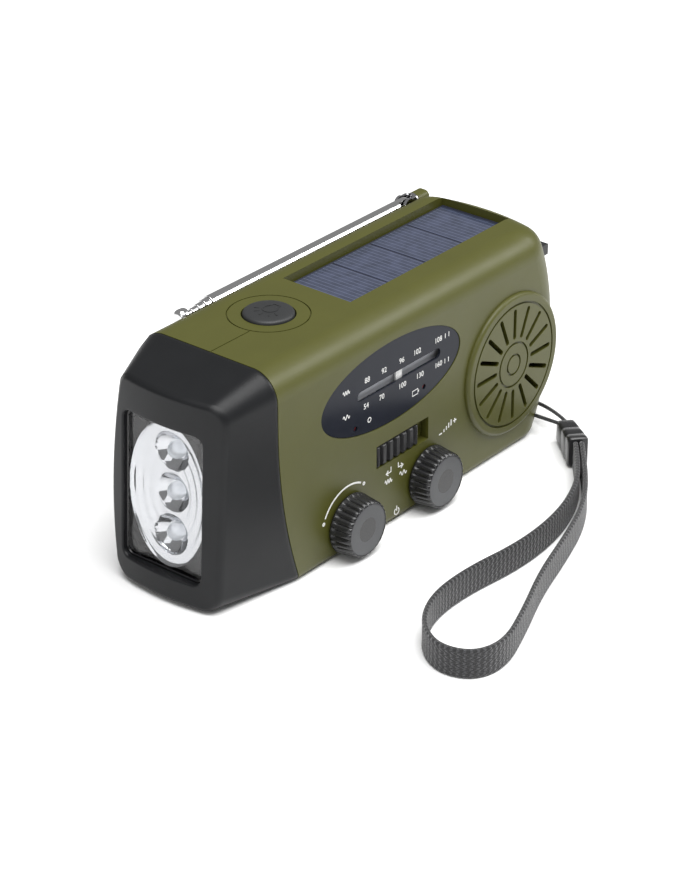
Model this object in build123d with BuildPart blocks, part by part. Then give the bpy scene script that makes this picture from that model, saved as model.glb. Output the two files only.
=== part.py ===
from build123d import *
import math
import os

# Emergency radio: hand crank, solar cell, torch head and a wrist strap, in millimetres.
# X runs from the lamp (-) to the speaker end (+), Y from the dial (-) to the crank (+), Z up.
# The origin is on the table under the middle of the case.

os.makedirs("parts", exist_ok=True)

# ---------------------------------------------------------------- driving sizes
HEIGHT = 60.0            # case height
FRONT_Y = -22.5          # flat front face
BACK_Y = 22.5            # crown of the bulged back
BACK_BULGE = 250.0       # radius of the back's bulge
MID_Z = 30.0             # height of the back's crown and of the end's crown
NOSE_TOP_X, NOSE_TOP_Z = -68.0, 56.0   # top of the raked lamp face
NOSE_FOOT_X = -71.0      # foot of the lamp face
CROWN_Y, CROWN, FACE_RADIUS = -1.0, 2.3, 63.0    # the lamp face is crowned across its width
FACE_WALL = 1.5
SEAM_X = -52.0           # joint between lamp bezel and case
SEAM_TURN_Z = 45.0       # below this height the joint curves towards the speaker end
SEAM_FOOT_X = -44.3      # joint at the bottom
END_X = 68.0             # crown of the speaker end
END_RADIUS = 66.0        # radius of the bulged speaker end
WALL = 2.0               # wall of every moulding
TOP_EDGE = 7.5           # rounding of the long top edges
END_EDGE = 9.0           # rounding of the end's upright edges
BOTTOM_EDGE = 2.5        # rounding of the bottom edges
SPLIT_Y = -1.2           # joint between front and rear shell
FIT = 0.05               # radial running clearance of shafts and tubes
GAP = 0.35               # clearance between mouldings that move past each other

TUNE_X, VOLUME_X, KNOB_Z = -25.5, 6.6, 8.5     # the two knobs
KNOB_Y0, KNOB_Y1 = -22.9, -29.0                # back and face of a knob
KNOB_RADIUS = 8.2
SHAFT_RADIUS = 3.0
TUNING_TEETH, TUNING_MODULE = 20, 0.55
RACK_Y0, RACK_Y1 = -13.0, -10.0                # layer of the dial drive
DIAL_X, DIAL_Z = -8.0, 41.3                    # oval dial window
DIAL_HALF_X, DIAL_HALF_Z = 28.0, 11.4
SLOT_X, SLOT_LENGTH, SLOT_HEIGHT = -4.9, 33.5, 2.8
POINTER_X = -4.0
INDICATORS = [(-22.4, 33.6), (5.2, 34.4)]      # tuned and charging lights in the dial
INDICATOR_RADIUS = 1.2
SWITCH_X0, SWITCH_X1 = -14.3, 7.0              # band switch window
SWITCH_Z0, SWITCH_Z1 = 18.7, 25.1
SLIDER_LENGTH = 16.4
SPEAKER_X, SPEAKER_Z = 42.3, 26.5              # speaker boss
SPEAKER_RADIUS = 20.0
SPEAKER_SEAT_Y = -19.9                         # ring behind the grille that the speaker sits on
SOLAR_X0, SOLAR_X1 = -9.4, 57.2                # solar recess on the top
SOLAR_Y0, SOLAR_Y1 = -10.0, 12.1
SOLAR_FLOOR_Z = 56.6
TORCH_X, TORCH_Y, TORCH_RADIUS = -27.2, 1.6, 6.6
ROD_Y, ROD_Z = 20.8, 57.2                      # antenna axis, along X
ROD_GROOVE = 2.5                               # groove in line with the antenna
PIVOT_X = 51.5                                 # antenna tilt pin
TUBE_END_X = -28.3                             # crimped end of the widest tube
TUBE_RADII = [2.1, 1.75, 1.4, 1.05]            # telescopic tubes, widest first
TIP_RADIUS = 0.7                               # solid rod inside the thinnest tube
TUBE_STEP = 2.2                                # each tube shows this much of the next
CRANK_X, CRANK_Z = -20.0, 30.0                 # crank axis, along Y
ARM_LENGTH = 50.0
ARM_Y0, ARM_Y1 = 25.6, 30.6                    # inner and outer face of the crank arm
ARM_WIDTH = 12.0
GRIP_RADIUS, GRIP_Y = 3.6, 29.2                # folding crank handle
CRANK_TEETH, IDLER_TEETH, PINION_TEETH = 60, 48, 12
GEAR_MODULE = 0.5
LAMP_Y, LAMP_HEIGHT = -0.75, 27.4              # centre of the lamp window in its raked face
WINDOW_WIDTH, WINDOW_HEIGHT = 25.7, 40.0
LED_PITCH = 11.2
BOARD_Y0, BOARD_Y1 = -6.0, -4.4                # main circuit board
PORT_Y0, PORT_Y1, PORT_Z0, PORT_Z1 = -17.2, -5.0, 36.0, 51.6
PORT_FLOOR_X = 59.5
USB_Y, USB_Z = (-15.0, -7.2), (44.8, 49.2)     # USB socket
JACK_Y, JACK_Z, JACK_RADIUS = -11.0, 40.4, 3.2 # earphone socket
STRING_X, STRING_Z = 55.9, 5.0                 # tunnel for the wrist string
STRING_RADIUS = 0.5
POST_PLACES = [(-41.5, 8), (-46, 45), (58.5, 9.2), (46, 48.5)]   # case screws, X and Z
LOCK_FAR, LOCK_NEAR = (56.8, -31.0), (46.5, -42.5)         # ends of the strap lock, X and Y
BAND_WIDTH, BAND_THICK = 8.0, 1.3

# Wrist string: out of the lock, round the bridge in the case corner and back into the lock.
STRING_ROUTE = [
    (57.1, -31.9, 5.3), (61.9, -23.5, 5.1), (62.6, -11.4, 5.0),
    (55.9, -11.4, 5.0), (55.9, -21.6, 5.0), (55.9, -30.9, 5.3),
]
# Webbing: out of the lock, along the table, round the loop and back into the lock.
BAND_ROUTE = [
    (46.6, -41.4), (36.5, -49.8), (25.0, -56.2), (11.0, -60.2), (-6.0, -61.2), (-24.0, -58.6),
    (-38.5, -59.3), (-49.8, -64.6), (-55.9, -73.6), (-53.4, -82.8), (-44.2, -85.4),
    (-30.0, -80.4), (-13.5, -73.4), (4.0, -68.2), (20.5, -62.4), (35.0, -53.2), (47.4, -42.9),
]


def finish(piece, name):
    """Label one finished piece and write it."""
    piece.part.label = name
    export_step(piece.part, f"parts/{name}.step")


def along_x(x, y, z):
    return Plane(origin=(x, y, z), x_dir=(0, 1, 0), z_dir=(1, 0, 0))


def along_y(x, y, z):
    return Plane(origin=(x, y, z), x_dir=(1, 0, 0), z_dir=(0, 1, 0))


def front_plane(y):
    """Plane facing the front at depth y: its x is +X and its y is +Z."""
    return Plane(origin=(0, y, 0), x_dir=(1, 0, 0), z_dir=(0, -1, 0))


def disc(plane, radius, length, mode=Mode.ADD):
    """Cylinder that starts on a plane and runs along its normal."""
    with Locations(plane):
        Cylinder(radius, length, align=(Align.CENTER, Align.CENTER, Align.MIN), mode=mode)


def block(x0, x1, y0, y1, z0, z1, mode=Mode.ADD):
    """Box between two corners."""
    with Locations(((x0 + x1) / 2, (y0 + y1) / 2, (z0 + z1) / 2)):
        Box(x1 - x0, y1 - y0, z1 - z0, mode=mode)


def bend_radii(points):
    """Largest arc for each corner of a route that both its runs have room for."""
    radii = []
    for before, corner, after in zip(points, points[1:], points[2:]):
        run_in = Vector(*corner) - Vector(*before)
        run_out = Vector(*after) - Vector(*corner)
        half_turn = math.radians(run_in.get_angle(run_out)) / 2
        radii.append(0.45 * min(run_in.length, run_out.length) / math.tan(half_turn))
    return radii


def gear_outline(teeth, module, phase=0.0):
    """Straight-flanked gear face in the current sketch, with a tooth at the phase angle."""
    pitch_radius = teeth * module / 2
    pitch_angle = 2 * math.pi / teeth
    root, tip = pitch_radius - 1.05 * module, pitch_radius + 0.8 * module
    corners = []
    for tooth in range(teeth):
        middle = phase + tooth * pitch_angle
        for radius, share in ((root, -0.29), (tip, -0.11), (tip, 0.11), (root, 0.29)):
            angle = middle + share * pitch_angle
            corners.append((radius * math.cos(angle), radius * math.sin(angle)))
    Polygon(*corners, align=None)


def case_solid(inset):
    """Outside of the case, or its hollow when inset by the wall."""
    top = HEIGHT - inset
    radius = BACK_BULGE - inset
    rise = math.sqrt(radius**2 - (top - MID_Z) ** 2) - radius
    drop = math.sqrt(radius**2 - (MID_Z + 10) ** 2) - radius
    end_center_x = END_X - END_RADIUS
    with BuildPart() as end_cut:
        with BuildSketch(Plane.YZ.offset(end_center_x)):
            Rectangle(120, 160)
        extrude(amount=100)
        with Locations((end_center_x, 0, MID_Z)):
            Sphere(END_RADIUS - inset, mode=Mode.SUBTRACT)
    with BuildPart() as below:
        with BuildSketch(front_plane(60)):
            with BuildLine():
                arc_start, arc_end = (END_X - 15.5, inset), (END_X - 4.0 - inset, 11.0)
                Line((-150, inset), arc_start)
                RadiusArc(arc_start, arc_end, -14.0)
                Polyline(arc_end, (150, 11.0), (150, -40), (-150, -40), (-150, inset))
            make_face()
        extrude(amount=120)
    with BuildPart() as case:
        with BuildSketch(Plane.YZ.offset(SEAM_X)):
            with BuildLine():
                front_top, front_foot = (FRONT_Y + inset, top), (FRONT_Y + inset, -10)
                back_top, back_foot = (BACK_Y - inset + rise, top), (BACK_Y - inset + drop, -10)
                Polyline(front_foot, front_top, back_top)
                ThreePointArc(back_top, (BACK_Y - inset, MID_Z), back_foot)
                Line(back_foot, front_foot)
            make_face()
        extrude(amount=END_X + 5 - SEAM_X)
        add(end_cut.part, mode=Mode.SUBTRACT)
        end_edges = case.faces().sort_by(Axis.X)[-1].edges().sort_by(Axis.Y)
        fillet([end_edges[0], end_edges[-1]], END_EDGE - inset)
        roof = case.faces().sort_by(Axis.Z)[-1]
        fillet([edge for edge in roof.edges() if edge.center().X > SEAM_X + 0.1], TOP_EDGE - inset)
        add(below.part, mode=Mode.SUBTRACT)
        if inset == 0:
            keel = [edge for edge in case.edges()
                    if edge.bounding_box().max.Z < 11.5 and edge.center().X > SEAM_X + 0.1
                    and edge.bounding_box().size.X + edge.bounding_box().size.Z > 3
                    and abs(edge.center().Y) > 14 and edge.center().Z < 8]
            fillet(keel, BOTTOM_EDGE)
    return case.part


def lamp_side():
    """Everything on the lamp's side of the curved joint."""
    with BuildPart() as side:
        with BuildSketch(front_plane(60)):
            with BuildLine():
                turn, foot = (SEAM_X, SEAM_TURN_Z), (SEAM_FOOT_X, 0)
                TangentArc(turn, foot, tangent=(0, -1))
                Polyline(foot, (SEAM_FOOT_X, -20), (-120, -20), (-120, 90), (SEAM_X, 90), turn)
            make_face()
        extrude(amount=120)
    return side.part


case_outside = case_solid(0)
case_hollow = case_solid(WALL)
lamp_region = lamp_side()

# ---------------------------------------------------------------- front and rear shell
with BuildPart() as fittings:
    # solar tray, antenna trough, band switch pocket, port pocket and string anchor
    block(SOLAR_X0 - WALL, SOLAR_X1 + WALL, SOLAR_Y0 - WALL, SOLAR_Y1 + WALL, 55.0, 59.0)
    block(-43.5, 61.0, 15.4, 23.0, 51.2, 60.0)
    block(SWITCH_X0 - WALL, SWITCH_X1 + WALL, FRONT_Y, -18.7, SWITCH_Z0 - WALL, SWITCH_Z1 + WALL)
    block(57.5, 68.0, PORT_Y0 - WALL, PORT_Y1 + WALL, PORT_Z0 - WALL, PORT_Z1 + WALL)
    block(53.2, 64.0, FRONT_Y, -9.0, 1.0, 8.2)
    for post_x, post_z in POST_PLACES:
        disc(along_y(post_x, -21.5, post_z), 2.8, 42.5)
    disc(along_y(CRANK_X, 17.8, CRANK_Z), 6.0, 4.0)
    disc(along_y(SPEAKER_X, -22.0, SPEAKER_Z), 16.8, SPEAKER_SEAT_Y + 22.0)
    # hangers of the torch switch board
    for hanger_x in (TORCH_X - 9.6, TORCH_X + 9.6):
        block(hanger_x - 0.8, hanger_x + 0.8, TORCH_Y - 2, TORCH_Y + 2, 51.2, 59.0)
    add(case_outside, mode=Mode.INTERSECT)
    # shaft bearing boss and antenna lug, which stand proud of the back
    disc(along_y(CRANK_X, 20.0, CRANK_Z), 13.0, 4.7)
    with BuildSketch(Plane.YZ.offset(7.5)):
        with BuildLine():
            lug_foot = (19.0, 51.6)
            Polyline(lug_foot, (25.1, 51.6), (25.1, 59.5))
            ThreePointArc((25.1, 59.5), (24.5, 60.1), (23.9, 59.5))
            Polyline((23.9, 59.5), (23.9, 53.2), (19.0, 53.2), lug_foot)
        make_face()
    extrude(amount=3.0)
    # raised speaker boss
    disc(along_y(SPEAKER_X, FRONT_Y - 1.2, SPEAKER_Z), SPEAKER_RADIUS, 3.0)
    fillet(fittings.edges().filter_by(GeomType.CIRCLE).sort_by(Axis.Y)[0], 1.0)

with BuildPart() as openings:
    block(SOLAR_X0, SOLAR_X1, SOLAR_Y0, SOLAR_Y1, SOLAR_FLOOR_Z, 65.0)
    # antenna trough, open to the back and the top, and the groove the rod slides out along
    block(-40.5, 59.8, 17.4, 30.0, 53.2, 65.0)
    block(47.5, 59.8, 16.9, 30.0, 53.2, 65.0)
    disc(along_x(-75.0, ROD_Y, ROD_Z), ROD_GROOVE, 40.0)
    # band switch pocket and the slot of its stem
    block(SWITCH_X0, SWITCH_X1, -30.0, -19.9, SWITCH_Z0, SWITCH_Z1)
    block(-10.2, 2.9, -20.5, -18.0, 20.6, 23.2)
    # port pocket, with holes for the two sockets
    block(PORT_FLOOR_X, 80.0, PORT_Y0, PORT_Y1, PORT_Z0, PORT_Z1)
    block(50.0, 60.0, *USB_Y, *USB_Z)
    disc(along_x(50.0, JACK_Y, JACK_Z), JACK_RADIUS, 10.0)
    # string tunnel behind the bridge in the corner
    disc(along_y(STRING_X, -30.0, STRING_Z), 1.2, 17.0)
    block(STRING_X - 1.2, 70.0, -14.0, -10.2, STRING_Z - 1.2, STRING_Z + 1.2)
    # torch button hole and its groove ring
    disc(Plane.XY.offset(50.0).move(Location((TORCH_X, TORCH_Y, 0))), TORCH_RADIUS + GAP, 15.0)
    with BuildSketch(Plane.XY.offset(59.5)):
        with Locations((TORCH_X, TORCH_Y)):
            Circle(10.65)
            Circle(10.3, mode=Mode.SUBTRACT)
    extrude(amount=1.0)
    # groove along the parting of the two shells
    block(-53.0, TORCH_X - 10.5, SPLIT_Y - 0.15, SPLIT_Y + 0.15, 59.75, 61.0)
    # dial window pocket and opening
    for half_x, half_z, depth in ((DIAL_HALF_X, DIAL_HALF_Z, -21.7), (26.0, 9.6, -19.0)):
        with BuildSketch(front_plane(depth)):
            with Locations((DIAL_X, DIAL_Z)):
                Ellipse(half_x, half_z)
        extrude(amount=10.0)
    for led_x, led_z in INDICATORS:
        disc(along_y(led_x, -22.0, led_z), INDICATOR_RADIUS, 5.0)
    # knob shaft holes
    for knob_x in (TUNE_X, VOLUME_X):
        disc(along_y(knob_x, -30.0, KNOB_Z), SHAFT_RADIUS + 0.3, 15.0)
    # speaker grille: rings and radial slots
    with BuildSketch(front_plane(FRONT_Y - 0.7)):
        with Locations((SPEAKER_X, SPEAKER_Z)):
            for ring in (17.3, 6.2, 2.8):
                Circle(ring + 0.3)
                Circle(ring - 0.3, mode=Mode.SUBTRACT)
    extrude(amount=2.0)
    with BuildSketch(front_plane(-15.0)):
        with Locations((SPEAKER_X, SPEAKER_Z)):
            with PolarLocations(11.8, 16):
                SlotOverall(8.8, 1.3)
    extrude(amount=12.0)
    # crank shaft bearing
    disc(along_y(CRANK_X, 15.0, CRANK_Z), SHAFT_RADIUS + FIT, 15.0)
    # case screws: clearance holes and head recesses from the back
    for post_x, post_z in POST_PLACES:
        disc(along_y(post_x, -14.0, post_z), 1.25, 30.0)
        disc(along_y(post_x, 14.0, post_z), 2.4, 15.0)

with BuildPart() as case_body:
    add(case_outside)
    add(case_hollow, mode=Mode.SUBTRACT)
    add(fittings.part)
    add(lamp_region, mode=Mode.SUBTRACT)
    add(openings.part, mode=Mode.SUBTRACT)

with BuildPart() as front_shell:
    add(case_body.part)
    split(bisect_by=front_plane(SPLIT_Y), keep=Keep.TOP)
finish(front_shell, "front_shell")

with BuildPart() as rear_shell:
    add(case_body.part)
    split(bisect_by=front_plane(SPLIT_Y), keep=Keep.BOTTOM)
finish(rear_shell, "rear_shell")

with BuildPart() as case_screws:
    for post_x, post_z in POST_PLACES:
        disc(along_y(post_x, -9.0, post_z), 1.2, 23.0)
        disc(along_y(post_x, 14.0, post_z), 2.2, 1.6)
finish(case_screws, "case_screws")


# ---------------------------------------------------------------- lamp head
def lamp_outline(plane, corners, bulge, radii):
    """Four-sided outline with a bulged back, from bottom front round to bottom back."""
    with BuildSketch(plane) as outline:
        with BuildLine():
            Polyline(corners[3], corners[0], corners[1], corners[2])
            ThreePointArc(corners[2], bulge, corners[3])
        make_face()
        for corner, radius in zip(corners, radii):
            fillet(outline.vertices().sort_by_distance((*corner, 0))[0], radius)
    return outline.sketch


rake = math.atan2(NOSE_TOP_X - NOSE_FOOT_X, NOSE_TOP_Z)
face_plane = Plane(origin=(NOSE_FOOT_X, 0, 0), x_dir=(0, 1, 0),
                   z_dir=(math.cos(rake), 0, -math.sin(rake)))


def lamp_plane(depth, up=0.0):
    """Plane parallel to the raked face, this far behind it and this far above the window's middle."""
    place = face_plane.from_local_coords((LAMP_Y, LAMP_HEIGHT + up, depth))
    return Plane(origin=place, x_dir=(0, 1, 0), z_dir=face_plane.z_dir)


back_edge_y = BACK_Y + math.sqrt(BACK_BULGE**2 - MID_Z**2) - BACK_BULGE
with BuildPart() as lamp_bezel:
    seam_outline = lamp_outline(
        Plane.YZ.offset(SEAM_X),
        [(FRONT_Y, 0), (FRONT_Y, HEIGHT), (back_edge_y, HEIGHT), (back_edge_y, 0)],
        (BACK_Y, MID_Z), (BOTTOM_EDGE, TOP_EDGE, TOP_EDGE, BOTTOM_EDGE))
    nose_outline = lamp_outline(
        face_plane.offset(-CROWN),
        [(-17.8, 0.9), (-19.7, 55.9), (12.3, 56.1), (13.6, 1.1)],
        (16.7, 26.0), (4.5, 5.0, 3.0, 4.5))
    loft([seam_outline, nose_outline], ruled=True)
    crown_axis = face_plane.from_local_coords((CROWN_Y, MID_Z, FACE_RADIUS - CROWN))
    with Locations(Plane(origin=crown_axis, z_dir=face_plane.y_dir)):
        Cylinder(FACE_RADIUS, 160, mode=Mode.INTERSECT)
    add(case_outside & lamp_region)
    # hollow behind the face
    seam_hollow = lamp_outline(
        Plane.YZ.offset(SEAM_X),
        [(FRONT_Y + WALL, WALL), (FRONT_Y + WALL, HEIGHT - WALL),
         (back_edge_y - WALL, HEIGHT - WALL), (back_edge_y - WALL, WALL)],
        (BACK_Y - WALL, MID_Z), (1.0, TOP_EDGE - WALL, TOP_EDGE - WALL, 1.0))
    nose_hollow = lamp_outline(
        face_plane.offset(FACE_WALL),
        [(-16.7, 3.0), (-18.3, 54.6), (12.0, 54.8), (13.0, 3.0)],
        (15.8, 26.0), (2.5, 3.5, 1.5, 2.5))
    loft([seam_hollow, nose_hollow], ruled=True, mode=Mode.SUBTRACT)
    add(case_hollow, mode=Mode.SUBTRACT)
    with BuildSketch(lamp_plane(-5.0)):
        RectangleRounded(WINDOW_WIDTH, WINDOW_HEIGHT, 2.5)
    extrude(amount=8.0, mode=Mode.SUBTRACT)
    disc(along_x(-75.0, ROD_Y, ROD_Z), ROD_GROOVE, 40.0, Mode.SUBTRACT)
finish(lamp_bezel, "lamp_bezel")

with BuildPart() as lamp_lens:
    with BuildSketch(lamp_plane(0.4)):
        RectangleRounded(WINDOW_WIDTH - 0.1, WINDOW_HEIGHT - 0.1, 2.45)
    extrude(amount=1.1)
finish(lamp_lens, "lamp_lens")

with BuildPart() as reflector:
    with BuildSketch(lamp_plane(FACE_WALL)):
        RectangleRounded(WINDOW_WIDTH + 0.6, WINDOW_HEIGHT + 1.0, 3.0)
    extrude(amount=6.8)
    # shallow oval bowl with one deeper cup for each LED
    with BuildSketch(lamp_plane(FACE_WALL)):
        Ellipse(11.5, 19.0)
    with BuildSketch(lamp_plane(FACE_WALL + 1.6)):
        Ellipse(10.7, 18.2)
    loft(mode=Mode.SUBTRACT)
    for step in (-1, 0, 1):
        with Locations(lamp_plane(FACE_WALL + 1.5, step * LED_PITCH)):
            Cone(5.3, 3.0, 3.6, align=(Align.CENTER, Align.CENTER, Align.MIN), mode=Mode.SUBTRACT)
        disc(lamp_plane(6.0, step * LED_PITCH), 2.7, 4.0, Mode.SUBTRACT)
finish(reflector, "reflector")

with BuildPart() as lamp_leds:
    for step in (-1, 0, 1):
        led_plane = lamp_plane(4.9, step * LED_PITCH)
        disc(led_plane, 2.4, 3.8)
        with Locations(led_plane.origin):
            Sphere(2.4)
finish(lamp_leds, "lamp_leds")

with BuildPart() as lamp_board:
    with BuildSketch(lamp_plane(8.7)):
        Rectangle(24.0, 38.0)
    extrude(amount=1.2)
finish(lamp_board, "lamp_board")

# ---------------------------------------------------------------- solar cell and torch button
with BuildPart() as solar_panel:
    block(SOLAR_X0 + 0.2, SOLAR_X1 - 0.2, SOLAR_Y0 + 0.2, SOLAR_Y1 - 0.2, SOLAR_FLOOR_Z, 58.0)
finish(solar_panel, "solar_panel")

with BuildPart() as torch_button:
    torch_base = Plane.XY.offset(57.2).move(Location((TORCH_X, TORCH_Y, 0)))
    disc(torch_base, TORCH_RADIUS, 3.9)
    fillet(torch_button.edges().sort_by(Axis.Z)[-1], 0.8)
    disc(torch_base.offset(-0.8), TORCH_RADIUS + 1.4, 1.2)
finish(torch_button, "torch_button")

with BuildPart() as torch_switch:
    block(TORCH_X - 10.6, TORCH_X + 10.6, TORCH_Y - 6, TORCH_Y + 6, 50.0, 51.2)
    block(TORCH_X - 3, TORCH_X + 3, TORCH_Y - 3, TORCH_Y + 3, 51.2, 54.4)
    disc(Plane.XY.offset(54.4).move(Location((TORCH_X, TORCH_Y, 0))), 1.6, 0.8)
finish(torch_switch, "torch_switch")

# ---------------------------------------------------------------- dial and its drive
with BuildPart() as dial_window:
    with BuildSketch(front_plane(-21.7)):
        with Locations((DIAL_X, DIAL_Z)):
            Ellipse(DIAL_HALF_X - 0.12, DIAL_HALF_Z - 0.12)
        with Locations((SLOT_X, DIAL_Z + 0.5)):
            SlotOverall(SLOT_LENGTH, SLOT_HEIGHT, mode=Mode.SUBTRACT)
        with Locations(*INDICATORS):
            Circle(0.7, mode=Mode.SUBTRACT)
    extrude(amount=0.6)
finish(dial_window, "dial_window")

with BuildPart() as dial_backing:
    block(-37.0, 21.0, -20.5, -19.7, 39.6, 44.6)
finish(dial_backing, "dial_backing")

with BuildPart() as indicator_leds:
    for led_x, led_z in INDICATORS:
        disc(along_y(led_x, -21.7, led_z), INDICATOR_RADIUS, 3.2)
finish(indicator_leds, "indicator_leds")

rack_z = KNOB_Z + TUNING_TEETH * TUNING_MODULE / 2
with BuildPart() as dial_pointer:
    block(POINTER_X - 1.2, POINTER_X + 1.2, -21.35, -20.85, 37.2, 43.6)
    block(POINTER_X - 1.2, POINTER_X + 1.2, -21.35, RACK_Y1, 37.2, 39.2)
    block(POINTER_X - 1.2, POINTER_X + 1.2, RACK_Y0, RACK_Y1, rack_z + 1.0, 39.2)
finish(dial_pointer, "dial_pointer")

rack_pitch = math.pi * TUNING_MODULE
rack_teeth = 19
with BuildPart() as dial_rack:
    with BuildSketch(front_plane(RACK_Y1)):
        with BuildLine():
            outline_points = []
            for tooth in range(rack_teeth):
                middle = TUNE_X + (tooth - rack_teeth // 2 + 0.5) * rack_pitch
                for height, share in ((0.58, -0.29), (-0.44, -0.11), (-0.44, 0.11), (0.58, 0.29)):
                    outline_points.append((middle + share * rack_pitch, rack_z + height))
            left_x, right_x = outline_points[0][0], POINTER_X - 1.2
            outline_points.append((right_x, rack_z + 0.58))
            outline_points += [(right_x, rack_z + 3.0), (left_x, rack_z + 3.0)]
            Polyline(*outline_points, close=True)
        make_face()
    extrude(amount=RACK_Y1 - RACK_Y0)
finish(dial_rack, "dial_rack")

with BuildPart() as tuning_gear:
    with BuildSketch(along_y(TUNE_X, RACK_Y0 + 0.2, KNOB_Z)):
        gear_outline(TUNING_TEETH, TUNING_MODULE)
        Circle(SHAFT_RADIUS, mode=Mode.SUBTRACT)
    extrude(amount=RACK_Y1 - RACK_Y0 - 0.4)
finish(tuning_gear, "tuning_gear")

with BuildPart() as tuning_shaft:
    disc(along_y(TUNE_X, -27.0, KNOB_Z), SHAFT_RADIUS, 17.6)
finish(tuning_shaft, "tuning_shaft")

with BuildPart() as volume_shaft:
    disc(along_y(VOLUME_X, -27.0, KNOB_Z), SHAFT_RADIUS, 17.2)
finish(volume_shaft, "volume_shaft")


def knob(knob_x, name):
    """Coned knob with scalloped skirt, bored from behind for its shaft."""
    lobes = 28
    depth = KNOB_Y0 - KNOB_Y1
    with BuildPart() as piece:
        with BuildSketch(front_plane(KNOB_Y0)):
            with Locations((knob_x, KNOB_Z)):
                Circle(KNOB_RADIUS)
                with PolarLocations(KNOB_RADIUS + 0.15, lobes):
                    Circle(0.5, mode=Mode.SUBTRACT)
        extrude(amount=depth, taper=7)
        disc(along_y(knob_x, -27.0, KNOB_Z), SHAFT_RADIUS, 6.0, Mode.SUBTRACT)
    finish(piece, name)


knob(TUNE_X, "tuning_knob")
knob(VOLUME_X, "volume_knob")

with BuildPart() as tuning_capacitor:
    block(TUNE_X - 6.4, TUNE_X + 6.4, -9.0, BOARD_Y0, KNOB_Z - 6.2, KNOB_Z + 6.4)
finish(tuning_capacitor, "tuning_capacitor")

with BuildPart() as volume_control:
    disc(along_y(VOLUME_X, -9.4, KNOB_Z), 5.9, 3.4)
finish(volume_control, "volume_control")

with BuildPart() as band_slider:
    slider_x0 = SWITCH_X0 + 0.3
    block(slider_x0, slider_x0 + SLIDER_LENGTH, -22.9, -20.3, SWITCH_Z0 + 0.35, SWITCH_Z1 - 0.35)
    for rib in range(5):
        groove_x = slider_x0 + 2.2 + rib * 2.9
        block(groove_x, groove_x + 1.1, -23.5, -22.1, 18.0, 26.0, Mode.SUBTRACT)
    block(-9.8, -1.8, -20.4, -16.2, 20.95, 22.85)
finish(band_slider, "band_slider")

with BuildPart() as band_switch:
    block(-13.0, 5.6, -18.7, -14.6, 19.3, 24.5)
    block(-10.3, 3.0, -19.0, -15.8, 20.5, 23.3, Mode.SUBTRACT)
finish(band_switch, "band_switch")

# ---------------------------------------------------------------- speaker
with BuildPart() as speaker_frame:
    disc(along_y(SPEAKER_X, SPEAKER_SEAT_Y, SPEAKER_Z), 15.4, 1.3)
    with Locations(along_y(SPEAKER_X, SPEAKER_SEAT_Y + 1.3, SPEAKER_Z)):
        Cone(13.6, 8.5, 7.2, align=(Align.CENTER, Align.CENTER, Align.MIN))
        Cone(12.8, 7.5, 7.3, align=(Align.CENTER, Align.CENTER, Align.MIN), mode=Mode.SUBTRACT)
    disc(along_y(SPEAKER_X, -21.0, SPEAKER_Z), 12.6, 2.5, Mode.SUBTRACT)
finish(speaker_frame, "speaker_frame")

with BuildPart() as speaker_cone:
    with Locations(along_y(SPEAKER_X, -19.5, SPEAKER_Z)):
        Cone(12.6, 5.0, 5.6, align=(Align.CENTER, Align.CENTER, Align.MIN))
        Cone(12.0, 4.4, 5.4, align=(Align.CENTER, Align.CENTER, Align.MIN), mode=Mode.SUBTRACT)
    with Locations((SPEAKER_X, -14.8, SPEAKER_Z)):
        Sphere(3.4)
finish(speaker_cone, "speaker_cone")

with BuildPart() as speaker_magnet:
    disc(along_y(SPEAKER_X, -11.4, SPEAKER_Z), 8.5, 5.0)
finish(speaker_magnet, "speaker_magnet")

# ---------------------------------------------------------------- board, sockets, battery
with BuildPart() as main_board:
    block(-42.0, 19.0, BOARD_Y0, BOARD_Y1, 2.6, 48.0)
    for post_x, post_z in POST_PLACES[:2]:
        disc(along_y(post_x, BOARD_Y0 - 1, post_z), 2.8, 4.0, Mode.SUBTRACT)
finish(main_board, "main_board")

with BuildPart() as board_chips:
    block(-20.0, -12.0, BOARD_Y1, -2.8, 4.0, 11.0)
    block(-38.0, -31.0, BOARD_Y1, -3.0, 20.0, 27.0)
    for part_x in (-36.0, -29.0, -5.0, 3.0):
        disc(along_y(part_x, BOARD_Y1, 12.0), 2.0, 5.0)
finish(board_chips, "board_chips")

with BuildPart() as usb_socket:
    block(51.0, PORT_FLOOR_X, *USB_Y, *USB_Z)
    block(54.0, 60.0, USB_Y[0] + 0.8, USB_Y[1] - 0.8, USB_Z[0] + 0.8, USB_Z[1] - 0.8, Mode.SUBTRACT)
finish(usb_socket, "usb_socket")

with BuildPart() as earphone_socket:
    disc(along_x(50.5, JACK_Y, JACK_Z), JACK_RADIUS, PORT_FLOOR_X - 50.5)
    disc(along_x(52.0, JACK_Y, JACK_Z), 1.8, 8.0, Mode.SUBTRACT)
finish(earphone_socket, "earphone_socket")

with BuildPart() as port_cover:
    block(PORT_FLOOR_X + 0.4, 72.0, PORT_Y0 + 0.3, PORT_Y1 - 0.3, PORT_Z0 + 0.3, PORT_Z1 - 0.3)
    with Locations((END_X - END_RADIUS, 0, MID_Z)):
        Sphere(END_RADIUS + 0.5, mode=Mode.INTERSECT)
        Sphere(END_RADIUS - 2.0, mode=Mode.SUBTRACT)
    block(61.6, 66.0, PORT_Y0 + 0.3, -6.0, 48.3, PORT_Z1 - 0.3)
finish(port_cover, "port_cover")

with BuildPart() as battery_cells:
    for cell_z in (8.8, 19.6, 30.4):
        disc(along_x(26.2, 9.9, cell_z), 5.2, 26.0)
        disc(along_x(52.2, 9.9, cell_z), 1.8, 0.8)
finish(battery_cells, "battery_cells")

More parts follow.
